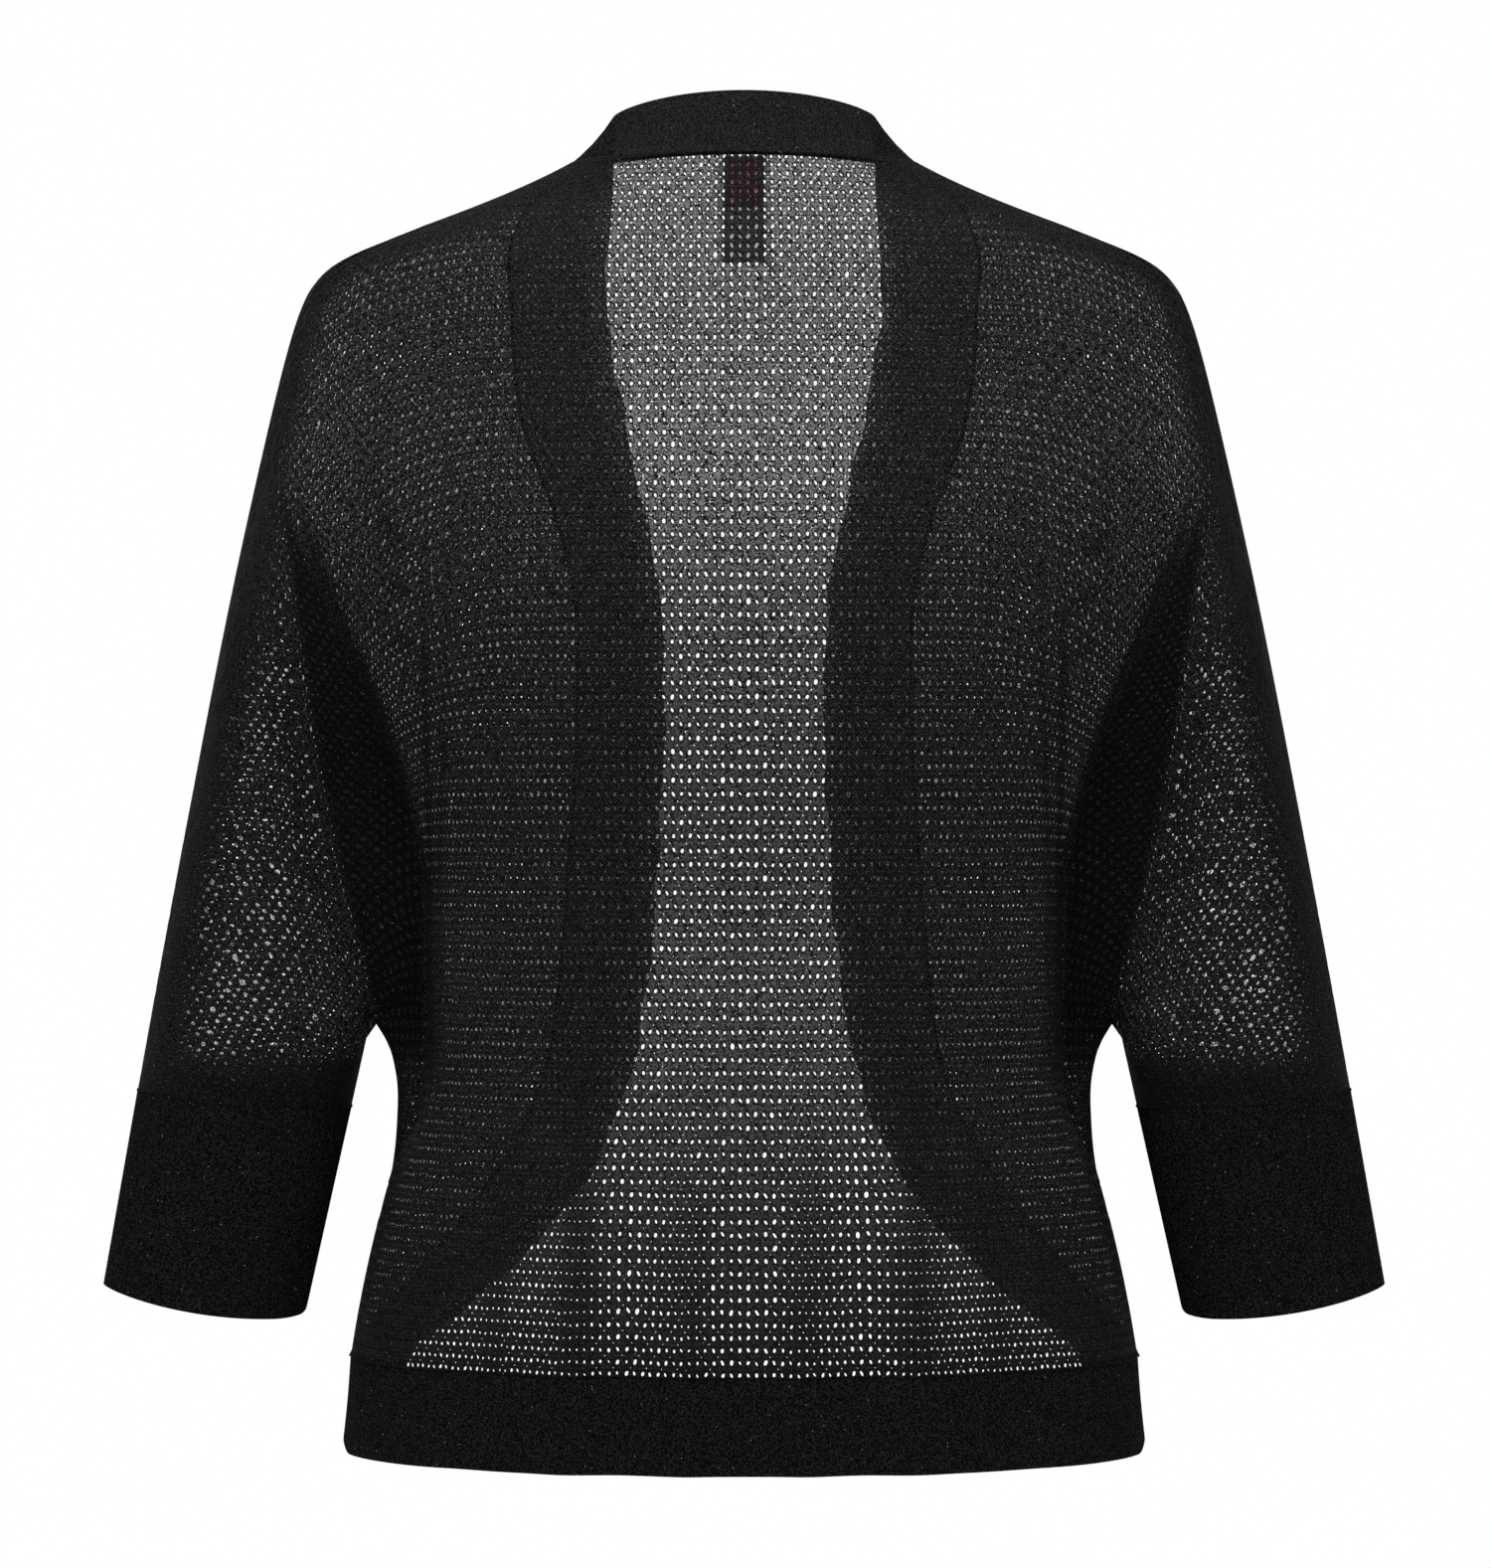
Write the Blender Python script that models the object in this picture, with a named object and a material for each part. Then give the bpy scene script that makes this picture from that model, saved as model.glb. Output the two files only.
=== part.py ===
"""Open-front knit cardigan with dolman sleeves, standing in its worn form.

Units are metres and +Z is up. X runs across the shoulders, the back faces +Y
and the open front faces -Y. The origin is on the middle plane, level with the
neck seam. Every piece of cloth is a closed wall: an outer skin worked out from
sections, an inner skin one cloth thickness inside it, and the cut edges that
join the two. Back and fronts are cut in one with their halves of the sleeves.
"""
import math
from collections import namedtuple

import bmesh
import bpy
import numpy as np
from mathutils import Vector

# Cloth walls and the clearance that each piece keeps to a seam line
MESH_CLOTH = 0.0012
RIB_CLOTH = 0.0018
LABEL_CLOTH = 0.0008
HALF_GAP = 0.00015

# Outline of the shoulder and the top of the arm, seen square on
NECK_HALF = 0.0810        # where the shoulder line starts at the neck, before rounding
SHOULDER_RUN = 1.87       # metres outwards for each metre down, beside the neck
SHOULDER_SPREAD = 22.6    # how much flatter the shoulder gets, for each metre down
ARM_LEAN = 0.194          # outward lean of the arm for each metre down
ARM_BOW, BOW_TOP = 0.0027, -0.050  # bulge of the arm line half-way, and where it starts
SHOULDER_ROUND = 0.0401   # how softly the two lines meet
WRIST_X = 0.2834
WRIST_Z = -0.4948

# Underarm point, where body and sleeve part
UNDERARM_X = 0.165
UNDERARM_Z = -0.377
SLEEVE_INNER_LEAN = 0.2235  # outward lean of the sleeve's inner line below it

# Hem band
HEM_TOP = -0.527
HEM_BOTTOM = -0.567
HEM_FRONT_TOP_X = 0.150     # where the band's front end starts, at its top
HEM_FRONT_BOTTOM_X = 0.166  # and at its lower edge

# Neck band: a ring that leans in as it rises, lower at its sides
NECK_BACK = 0.055
COLLAR_BACK_HEIGHT = 0.029
COLLAR_SIDE_HEIGHT = 0.0205
COLLAR_TOP_HALF = 0.058
COLLAR_TOP_BACK = 0.034
COLLAR_ARCH = 1.6

# Label inside the back neck
LABEL_HALF_WIDTH = 0.0085
LABEL_TOP = -0.002
LABEL_BOTTOM = -0.050
LABEL_INSET = 0.0024

# How the underarm fold is shaped
FOLD_START = -0.130   # the fold fades in below this height
FOLD_FULL = -0.290    # and has its whole depth from here down
FOLD_LINED = -0.200   # from here down the columns of points run along its edges
WEB_DEPTH = 0.045     # half-depth of the cloth bridging arm and body, at the top
WEB_POWER = 8         # how square that bridge is in section
FLAP_DEPTH = 0.008    # half-depth of the spare cloth below the underarm
JOIN_POWER = 4        # how softly two rounded forms run together

# Steps of each skin
BODY_STEPS = 9
WEB_STEPS = 2            # of the body's steps, those between trunk and underarm line
SLEEVE_STEPS = 10
FRONT_STEPS = 5
UPPER_ROWS = 17
LOWER_ROWS = 8
CUFF_START_ROWS = 2
CUFF_ROWS = 3
CUFF_STEPS = 20
BAND_STEPS = 3
COLLAR_STEPS = 7
HEM_STEPS = 30
HEM_ROWS = 2
LABEL_ROWS = 4
FRONT_TIP_DEPTH = 0.005  # width of a front where it runs out, at top and bottom
FRONT_TIP_Z = -0.5235
BAND_TURN_Z = -0.030   # above this the band twists from chest to collar
BAND_END_Z = -0.500    # below this it narrows into the side seam
TIP_GAP = 0.0016       # clearance between band and front where the band twists
FRONT_ARM_SHARE = 0.4    # least share of a front's width inside its arm line
FRONT_TRUNK_SHARE = 0.3  # and inside its trunk line
LAID_FLAT = 0.999        # turn from which the band's points lie on the chest itself
SHARP_EDGE = 50          # degrees; the cut edges are sharper than this

# Plan sections of the trunk: how far the back and the front stand from the
# middle plane, and how square the section is (2 is an ellipse)
Section = namedtuple("Section", "z back front power")
TRUNK = (
    Section(0.000, NECK_BACK, 0.052, 2.0),
    Section(-0.030, 0.070, 0.066, 2.0),
    Section(-0.080, 0.088, 0.086, 2.1),
    Section(-0.150, 0.101, 0.102, 2.4),
    Section(-0.230, 0.104, 0.110, 2.7),
    Section(-0.330, 0.098, 0.104, 2.8),
    Section(-0.400, 0.093, 0.096, 2.6),
    Section(-0.470, 0.101, 0.098, 2.3),
    Section(-0.530, 0.112, 0.102, 2.2),
    Section(-0.570, 0.115, 0.104, 2.2),
)

# Body below the underarm: its side line, and where its round trunk ends
# inside the spare cloth of the underarm
Side = namedtuple("Side", "z half trunk_half")
SIDES = (
    Side(UNDERARM_Z, UNDERARM_X, 0.140),
    Side(-0.389, 0.1577, 0.140),
    Side(-0.402, 0.1542, 0.141),
    Side(-0.425, 0.1538, 0.146),
    Side(-0.442, 0.1555, 0.1545),
    Side(-0.477, 0.1643, 0.1643),
    Side(-0.521, 0.1730, 0.1730),
    Side(-0.556, 0.1775, 0.1775),
    Side(-0.570, 0.1775, 0.1775),
)

# Underarm fold: the edge of the trunk's form and of the arm's form beside it
Fold = namedtuple("Fold", "z trunk_edge arm_edge")
FOLDS = (
    Fold(FOLD_START, 0.207, 0.208),
    Fold(-0.200, 0.178, 0.197),
    Fold(-0.255, 0.155, 0.190),
    Fold(-0.300, 0.143, 0.182),
    Fold(UNDERARM_Z, 0.140, UNDERARM_X),
)

# Sleeve rings: heights of the inner and outer end of each, and its half-depth
Ring = namedtuple("Ring", "name inner_z outer_z depth")
RINGS = (
    Ring("underarm", UNDERARM_Z, UNDERARM_Z, 0.044),
    Ring("cuff seam", -0.418, -0.4105, 0.040),
    Ring("wrist", -0.509, WRIST_Z, 0.034),
)

# Arm's half-depth above the underarm
Arm = namedtuple("Arm", "z depth")
ARMS = (
    Arm(0.0, 0.052),
    Arm(-0.130, 0.052),
    Arm(-0.250, 0.048),
    Arm(UNDERARM_Z, 0.044),
)

# Front band: the seam to the front and the free edge beside it, and how far
# the band has turned from the standing collar to lie on the chest
Band = namedtuple("Band", "z seam_x free_x free_z turn")
BANDS = (
    Band(0.000, 0.0770, 0.0580, 0.0200, 0.15),
    Band(-0.010, 0.0905, 0.0585, 0.0090, 0.60),
    Band(-0.028, 0.1030, 0.0600, -0.0130, 0.95),
    Band(-0.060, 0.1045, 0.0630, -0.0480, 1.0),
    Band(-0.110, 0.1000, 0.0575, -0.0930, 1.0),
    Band(-0.150, 0.0860, 0.0490, -0.1360, 1.0),
    Band(-0.185, 0.0775, 0.0405, -0.1760, 1.0),
    Band(-0.235, 0.0760, 0.0370, -0.2320, 1.0),
    Band(-0.300, 0.0790, 0.0395, -0.3000, 1.0),
    Band(-0.360, 0.0835, 0.0445, -0.3640, 1.0),
    Band(-0.405, 0.0900, 0.0545, -0.4140, 1.0),
    Band(-0.440, 0.1050, 0.0735, -0.4560, 1.0),
    Band(-0.475, 0.1300, 0.1045, -0.4920, 1.0),
    Band(-0.502, 0.1530, 0.1290, -0.5130, 1.0),
    Band(-0.517, 0.1680, 0.1420, -0.5230, 1.0),
    Band(HEM_TOP, 0.1745, 0.1500, HEM_TOP, 1.0),
)


def read(table, column, z):
    """A smooth curve through one column of a table, read at heights z."""
    rows = sorted(table, key=lambda row: row.z)
    heights = np.array([row.z for row in rows])
    values = np.array([getattr(row, column) for row in rows])
    slopes = np.gradient(values, heights)
    z = np.clip(np.asarray(z, float), heights[0], heights[-1])
    k = np.clip(np.searchsorted(heights, z) - 1, 0, len(rows) - 2)
    span = heights[k + 1] - heights[k]
    t = (z - heights[k]) / span
    start = (2 * t**3 - 3 * t**2 + 1) * values[k]
    start_slope = (t**3 - 2 * t**2 + t) * span * slopes[k]
    end = (3 * t**2 - 2 * t**3) * values[k + 1]
    end_slope = (t**3 - t**2) * span * slopes[k + 1]
    return start + start_slope + end + end_slope


def ease(low, high, value):
    """0 below low, 1 above high, and smooth between."""
    t = np.clip((value - low) / (high - low), 0.0, 1.0)
    return t * t * (3 - 2 * t)


def overarm(z):
    """Half-width of the outline at height z: shoulder line into arm line."""
    shoulder = NECK_HALF - z * (SHOULDER_RUN - SHOULDER_SPREAD * z)
    bow = ARM_BOW * np.sin(math.pi * np.clip((z - BOW_TOP) / (WRIST_Z - BOW_TOP), 0.0, 1.0))
    arm = WRIST_X + ARM_LEAN * (WRIST_Z - z) + bow
    return (shoulder + arm - np.hypot(shoulder - arm, SHOULDER_ROUND)) / 2


def sleeve_inner(z):
    """Inner line of the sleeve below the underarm."""
    return UNDERARM_X + SLEEVE_INNER_LEAN * (UNDERARM_Z - z)


# Above the fold the same columns keep to shares of the whole half-width
Share = namedtuple("Share", "z arm trunk")
SHARES = (
    Share(0.0, 0.64, 0.54),
    Share(-0.060, 0.68, 0.58),
    Share(-0.130, 0.80, 0.70),
    Share(FOLD_LINED, 0.86, 0.78),
)


def rounded(x, half, depth, power):
    """Depth of a rounded form of the given half-width, at distance x."""
    share = np.clip(np.abs(x) / half, 0.0, 1.0)
    return depth * (1.0 - share**power) ** (1.0 / power)


def run_together(*depths):
    """Joins rounded forms, each of which is 0 outside itself."""
    return sum(d**JOIN_POWER for d in depths) ** (1.0 / JOIN_POWER)


def upper_depth(x, z, side):
    """Depth of the cloth above the underarm; side is "back" or "front"."""
    x = np.abs(x)
    depth = read(TRUNK, side, z)
    power = read(TRUNK, "power", z)
    outline = overarm(z)
    cape = rounded(x, outline, depth, power)
    arm_edge = read(FOLDS, "arm_edge", z)
    middle = (arm_edge + outline) / 2
    rise = np.clip((z - UNDERARM_Z) / (FOLD_START - UNDERARM_Z), 0.0, 1.0)
    trunk = rounded(x, read(FOLDS, "trunk_edge", z), depth, power)
    arm = rounded(x - middle, (outline - arm_edge) / 2, read(ARMS, "depth", z), 2)
    web = rounded(x, middle, WEB_DEPTH * np.sqrt(rise), WEB_POWER)
    flap = rounded(x, UNDERARM_X, FLAP_DEPTH, JOIN_POWER)
    folded = run_together(trunk, arm, web, flap * (x < UNDERARM_X))
    fold = 1.0 - ease(FOLD_FULL, FOLD_START, z)
    return cape * (1.0 - fold) + folded * fold


def lower_depth(x, z, side):
    """Depth of the body's cloth below the underarm."""
    trunk = rounded(x, read(SIDES, "trunk_half", z), read(TRUNK, side, z), read(TRUNK, "power", z))
    flap = rounded(x, read(SIDES, "half", z), FLAP_DEPTH, JOIN_POWER)
    return run_together(trunk, flap)


def body_point(x, z, side):
    """A point of the body's outer skin, the seam clearance included."""
    level = min(z, 0.0)
    work = upper_depth if level >= UNDERARM_Z else lower_depth
    depth = HALF_GAP + float(work(x, level, side))
    return Vector((x, depth if side == "back" else -depth, z))


def fold_lines(z):
    """X of the columns along the trunk's edge and along the arm's, above the underarm."""
    lined = 1.0 - float(ease(FOLD_LINED, FOLD_START, z))
    outline = float(overarm(z))
    trunk = lined * read(FOLDS, "trunk_edge", z) + (1 - lined) * read(SHARES, "trunk", z) * outline
    arm = lined * read(FOLDS, "arm_edge", z) + (1 - lined) * read(SHARES, "arm", z) * outline
    return float(trunk), float(arm)


def upper_rows():
    """Heights of the rows from the neck seam to the underarm."""
    return [UNDERARM_Z * (r / UPPER_ROWS) ** 1.5 for r in range(UPPER_ROWS + 1)]


def lower_rows():
    """Heights of the rows from the underarm to the hem seam."""
    drop = HEM_TOP - UNDERARM_Z
    return [UNDERARM_Z + drop * (r / LOWER_ROWS) ** 1.25 for r in range(LOWER_ROWS + 1)]


def ring_at(t):
    """Ends and half-depth of the sleeve ring t: 0 underarm, 1 cuff seam, 2 wrist."""
    k = min(int(t), len(RINGS) - 2)
    low, high = RINGS[k], RINGS[k + 1]
    f = t - k
    inner_z = low.inner_z + (high.inner_z - low.inner_z) * f
    outer_z = low.outer_z + (high.outer_z - low.outer_z) * f
    depth = low.depth + (high.depth - low.depth) * f
    inner = Vector((sleeve_inner(inner_z), 0.0, inner_z))
    outer = Vector((float(overarm(outer_z)), 0.0, outer_z))
    return inner, outer, depth


def ring_point(t, angle, mirror):
    """A point of the sleeve's outer skin: angle 0 is the inner end, pi the outer."""
    inner, outer, depth = ring_at(t)
    point = inner.lerp(outer, (1.0 - math.cos(angle)) / 2)
    sine = math.sin(angle)
    point.y = depth * sine
    if abs(sine) > 1e-6:
        point.y += math.copysign(HALF_GAP, sine)
    point.x *= mirror
    return point


def sleeve_axis(mirror):
    """Unit vector down the cuff."""
    (inner_a, outer_a, _), (inner_b, outer_b, _) = ring_at(1.0), ring_at(2.0)
    axis = (inner_b + outer_b - inner_a - outer_a).normalized()
    axis.x *= mirror
    return axis


class Skin:
    """The outer skin of one piece: keyed points, faces and locked edges.

    A lock is a direction that the inner skin's offset must not have, so that
    a cut edge stays square to its seam.
    """

    def __init__(self):
        self.index = {}
        self.points = []
        self.locks = []
        self.faces = []

    def add(self, key, point, lock=None):
        """Adds a point unless its key is known."""
        if key not in self.index:
            self.index[key] = len(self.points)
            self.points.append(Vector(point))
            self.locks.append(lock)

    def face(self, *keys):
        """Adds a four-sided face, split on its shorter diagonal.

        Its keys run counter-clockwise seen from outside. Outer and inner skin
        share the split, so that a twisted face stays one cloth thick.
        """
        a, b, c, d = (self.index[key] for key in keys)
        first = (self.points[a] - self.points[c]).length
        second = (self.points[b] - self.points[d]).length
        if first <= second:
            self.faces += [(a, b, c), (a, c, d)]
        else:
            self.faces += [(a, b, d), (b, c, d)]

    def strip(self, rows):
        """Faces between rows of keys; each row runs to the right seen from outside."""
        for above, below in zip(rows, rows[1:]):
            for k in range(len(above) - 1):
                self.face(below[k], below[k + 1], above[k + 1], above[k])

    def wall(self, name, thickness, material):
        """Makes the closed wall as a scene object."""
        outer = bmesh.new()
        verts = [outer.verts.new(p) for p in self.points]
        for face in self.faces:
            outer.faces.new([verts[i] for i in face])
        outer.normal_update()
        offsets = []
        for vert, lock in zip(verts, self.locks):
            normal = vert.normal.copy()
            if lock is not None:
                normal -= normal.project(lock)
                normal.normalize()
            offsets.append(vert.co - normal * thickness)
        inner = [outer.verts.new(p) for p in offsets]
        rims = [(e.verts[0], e.verts[1], e.link_loops[0].vert) for e in outer.edges if e.is_boundary]
        place = {vert: k for k, vert in enumerate(verts)}
        for face in self.faces:
            outer.faces.new([inner[i] for i in reversed(face)])
        for first, second, start in rims:
            a, b = (first, second) if start == first else (second, first)
            outer.faces.new([b, a, inner[place[a]], inner[place[b]]])
        bmesh.ops.recalc_face_normals(outer, faces=outer.faces[:])
        mesh = bpy.data.meshes.new(name)
        outer.to_mesh(mesh)
        outer.free()
        mesh.materials.append(material)
        mesh.shade_smooth()
        mesh.set_sharp_from_angle(angle=math.radians(SHARP_EDGE))
        piece = bpy.data.objects.new(name, mesh)
        bpy.context.scene.collection.objects.link(piece)
        return piece


ACROSS_SIDE_SEAM = Vector((0.0, 1.0, 0.0))
ACROSS_LEVEL_SEAM = Vector((0.0, 0.0, 1.0))


def body_columns(start, trunk, end, steps):
    """X of the columns from start round the trunk to its edge, and on to the end."""
    round_steps = steps - WEB_STEPS
    low = math.asin(start / trunk)
    turn = (math.pi / 2 - low) / round_steps
    round_part = [trunk * math.sin(low + turn * k) for k in range(1, round_steps)]
    web = [trunk + (end - trunk) * k / WEB_STEPS for k in range(WEB_STEPS + 1)]
    return [start] + round_part + web


def upper_columns(z, start, steps):
    """X of the columns at height z: over the body from start, then over the arm."""
    outline = float(overarm(z))
    trunk, arm = fold_lines(z)
    trunk = max(trunk, start + FRONT_TRUNK_SHARE * (outline - start))
    arm = max(arm, start + FRONT_ARM_SHARE * (outline - start))
    over_arm = [
        arm + (outline - arm) * (1 - math.cos(math.pi * k / SLEEVE_STEPS)) / 2
        for k in range(1, SLEEVE_STEPS + 1)
    ]
    return body_columns(start, trunk, arm, steps) + over_arm


def lower_columns(z, start, steps):
    """X of the columns below the underarm, from start to the side line."""
    half = float(read(SIDES, "half", z))
    widest = half * math.sin(math.pi / 2 * (1 - WEB_STEPS / BODY_STEPS))
    trunk = min(float(read(SIDES, "trunk_half", z)), widest)
    trunk = max(trunk, start + FRONT_TRUNK_SHARE * (half - start))
    return body_columns(start, trunk, half, steps)


def make_back(material):
    """Back with the back halves of both sleeves."""
    skin = Skin()
    last = UPPER_ROWS
    edge = BODY_STEPS + SLEEVE_STEPS
    rows = []
    for r, z in enumerate(upper_rows()):
        columns = upper_columns(z, 0.0, BODY_STEPS)
        level = z - HALF_GAP if r == 0 else z
        keys = []
        for c in range(-edge, edge + 1):
            x = math.copysign(columns[abs(c)], c)
            lock = ACROSS_LEVEL_SEAM if r == 0 else None
            point = body_point(x, level, "back")
            if abs(c) == edge or (r == last and abs(c) == BODY_STEPS):
                point.y = HALF_GAP
                lock = ACROSS_SIDE_SEAM
            keys.append(("upper", r, c))
            skin.add(keys[-1], point, lock)
        rows.append(keys[::-1])
    skin.strip(rows)

    rows = [[("upper", last, c) for c in range(BODY_STEPS, -BODY_STEPS - 1, -1)]]
    for r, z in enumerate(lower_rows()[1:], start=1):
        columns = lower_columns(z, 0.0, BODY_STEPS)
        bottom = r == LOWER_ROWS
        keys = []
        for c in range(BODY_STEPS, -BODY_STEPS - 1, -1):
            x = math.copysign(columns[abs(c)], c)
            point = body_point(x, z, "back")
            lock = ACROSS_LEVEL_SEAM if bottom else None
            if abs(c) == BODY_STEPS:
                point.y = HALF_GAP
                lock = ACROSS_SIDE_SEAM
            if bottom:
                point.z += HALF_GAP
            keys.append(("body", r, c))
            skin.add(keys[-1], point, lock)
        rows.append(keys)
    skin.strip(rows)

    for mirror in (1, -1):
        add_lower_sleeve(skin, mirror, 1)
    return skin.wall("back", MESH_CLOTH, material)


def add_lower_sleeve(skin, mirror, facing):
    """Adds half a sleeve, underarm to cuff seam; facing is 1 at the back."""
    columns = range(BODY_STEPS, BODY_STEPS + SLEEVE_STEPS + 1)
    rows = [[("upper", UPPER_ROWS, mirror * c) for c in columns]]
    axis = sleeve_axis(mirror)
    for r in range(1, CUFF_START_ROWS + 1):
        keys = []
        for c in columns:
            angle = math.pi * (c - BODY_STEPS) / SLEEVE_STEPS
            point = ring_point(r / CUFF_START_ROWS, angle * facing, mirror)
            lock = None
            if c in (columns[0], columns[-1]):
                point.y = facing * HALF_GAP
                lock = ACROSS_SIDE_SEAM
            elif r == CUFF_START_ROWS:
                lock = axis
            if r == CUFF_START_ROWS:
                point -= axis * HALF_GAP
            keys.append(("sleeve", mirror, r, c))
            skin.add(keys[-1], point, lock)
        rows.append(keys)
    outward_right = mirror * facing < 0
    skin.strip(rows if outward_right else [row[::-1] for row in rows])


def tip_x(z):
    """Where the front's cloth is FRONT_TIP_DEPTH deep, near its outline."""
    upper = z >= UNDERARM_Z
    half = float(overarm(z)) if upper else float(read(SIDES, "half", z))
    power = float(read(TRUNK, "power", z))
    depth = float(read(TRUNK, "front", z))
    return half * (1 - (FRONT_TIP_DEPTH / depth) ** power) ** (1 / power)


def seam_x(z):
    """Where the front meets its band, at height z."""
    return min(float(read(BANDS, "seam_x", z)), tip_x(z))


def free_point(z, mirror):
    """The band's free edge beside the seam at height z."""
    x = float(read(BANDS, "free_x", z))
    free_z = float(read(BANDS, "free_z", z))
    point = body_point(x, free_z, "front")
    point.y *= float(read(BANDS, "turn", z))
    point.x *= mirror
    return point


def front_rows():
    """Heights of a front's rows, shoulder to the tip at the side seam."""
    return upper_rows() + lower_rows()[1:-1] + [FRONT_TIP_Z]


def seam_point(z, mirror):
    """The seam between front and band, at height z."""
    point = body_point(seam_x(z), z, "front")
    point.x *= mirror
    return point


def make_front(name, mirror, material):
    """One front with the front half of its sleeve. mirror is 1 for +X."""
    skin = Skin()
    rows = []
    for r, z in enumerate(front_rows()):
        across_band = (free_point(z, mirror) - seam_point(z, mirror)).normalized()
        work = upper_columns if r <= UPPER_ROWS else lower_columns
        columns = work(z, seam_x(z), FRONT_STEPS)
        shift = BODY_STEPS - FRONT_STEPS
        keys = []
        for k, x in enumerate(columns):
            point = body_point(x, z - HALF_GAP if r == 0 else z, "front")
            level_cut = z in (0.0, FRONT_TIP_Z)
            lock = ACROSS_LEVEL_SEAM if level_cut else None
            outer_end = k == len(columns) - 1
            if outer_end or (r >= UPPER_ROWS and k == FRONT_STEPS):
                point.y = -HALF_GAP
                lock = ACROSS_SIDE_SEAM
            elif k == 0 and not level_cut:
                lock = across_band
            point.x *= mirror
            keys.append(("upper", r, mirror * (k + shift)))
            skin.add(keys[-1], point, lock)
        rows.append(keys)
    whole = rows[: UPPER_ROWS + 1]
    body = [row[: FRONT_STEPS + 1] for row in rows[UPPER_ROWS:]]
    for block in (whole, body):
        skin.strip(block if mirror > 0 else [row[::-1] for row in block])
    add_lower_sleeve(skin, mirror, -1)
    return skin.wall(name, MESH_CLOTH, material)


def collar_station(angle):
    """Foot and top of the standing neck band; angle runs from +X round the back."""
    foot_half = float(overarm(0.0))
    foot = (foot_half * math.cos(angle), NECK_BACK * math.sin(angle), HALF_GAP)
    arch = abs(math.sin(angle)) ** COLLAR_ARCH
    height = COLLAR_SIDE_HEIGHT + (COLLAR_BACK_HEIGHT - COLLAR_SIDE_HEIGHT) * arch
    top = (COLLAR_TOP_HALF * math.cos(angle), COLLAR_TOP_BACK * math.sin(angle), height)
    return Vector(foot), Vector(top)


class BandSkin(Skin):
    """The band's skin, laid down one station at a time, seam to free edge."""

    def __init__(self):
        super().__init__()
        self.stations = []

    def station(self, name, seam, free, gap=0.0, on_body=False, seam_lock=None, lock=None):
        """Adds one station; on_body lays its points on the chest."""
        across = free - seam
        start = gap / across.length
        keys = []
        for k in range(BAND_STEPS + 1):
            point = seam.lerp(free, start + (1.0 - start) * k / BAND_STEPS)
            if on_body and k < BAND_STEPS:
                point.y = body_point(abs(point.x), point.z, "front").y
            keys.append((name, k))
            self.add(keys[-1], point, seam_lock if k == 0 else lock)
        self.stations.append(keys)

    def front(self, name, mirror, upwards):
        """Adds one front's stations, from the hem up or from the shoulder down."""
        half = float(read(SIDES, "half", HEM_TOP))
        end = Vector((mirror * half, -2 * HALF_GAP, HEM_TOP + HALF_GAP))
        end_free = free_point(HEM_TOP, mirror)
        end_free.z = end.z
        heights = front_rows()
        if upwards:
            self.station((name, "end"), end, end_free, 0.0, True, ACROSS_SIDE_SEAM, ACROSS_LEVEL_SEAM)
            heights.reverse()
        for z in heights:
            seam = seam_point(z, mirror)
            free = free_point(z, mirror)
            across = (free - seam).normalized()
            near_tip = z > BAND_TURN_Z or z < BAND_END_Z
            flat = float(read(BANDS, "turn", z)) > LAID_FLAT
            if z == 0.0:
                seam.z = HALF_GAP
                across = ACROSS_LEVEL_SEAM
            elif z == FRONT_TIP_Z:
                seam.z -= TIP_GAP
                across = ACROSS_LEVEL_SEAM
            gap = TIP_GAP if near_tip else 2 * HALF_GAP
            self.station((name, z), seam, free, gap, flat, across)
        if not upwards:
            self.station((name, "end"), end, end_free, 0.0, True, ACROSS_SIDE_SEAM, ACROSS_LEVEL_SEAM)


def make_front_band(material):
    """The band: up one front, round the back neck and down the other."""
    skin = BandSkin()
    skin.front("right", 1, True)
    for k in range(2 * COLLAR_STEPS + 1):
        foot, top = collar_station(math.pi * k / (2 * COLLAR_STEPS))
        skin.station(("collar", k), foot, top, seam_lock=ACROSS_LEVEL_SEAM)
    skin.front("left", -1, False)
    rows = [[station[k] for station in skin.stations] for k in range(BAND_STEPS, -1, -1)]
    skin.strip(rows)
    return skin.wall("front_band", RIB_CLOTH, material)


def make_hem_band(material):
    """Hem band: from one front end round the back to the other."""
    skin = Skin()
    rows = []
    for r in range(HEM_ROWS + 1):
        share = r / HEM_ROWS
        z = HEM_TOP - HALF_GAP + (HEM_BOTTOM - HEM_TOP + HALF_GAP) * share
        half = float(read(SIDES, "half", z))
        front_x = HEM_FRONT_TOP_X + (HEM_FRONT_BOTTOM_X - HEM_FRONT_TOP_X) * share
        wrap = math.acos(front_x / half)
        keys = []
        for k in range(HEM_STEPS + 1):
            angle = -wrap + (math.pi + 2 * wrap) * k / HEM_STEPS
            x = half * math.cos(angle)
            side = "back" if angle >= 0 and angle <= math.pi else "front"
            point = body_point(x, z, side)
            keys.append((r, k))
            skin.add(keys[-1], point, ACROSS_LEVEL_SEAM if r in (0, HEM_ROWS) else None)
        rows.append(keys)
    skin.strip(rows)
    return skin.wall("hem_band", RIB_CLOTH, material)


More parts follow.
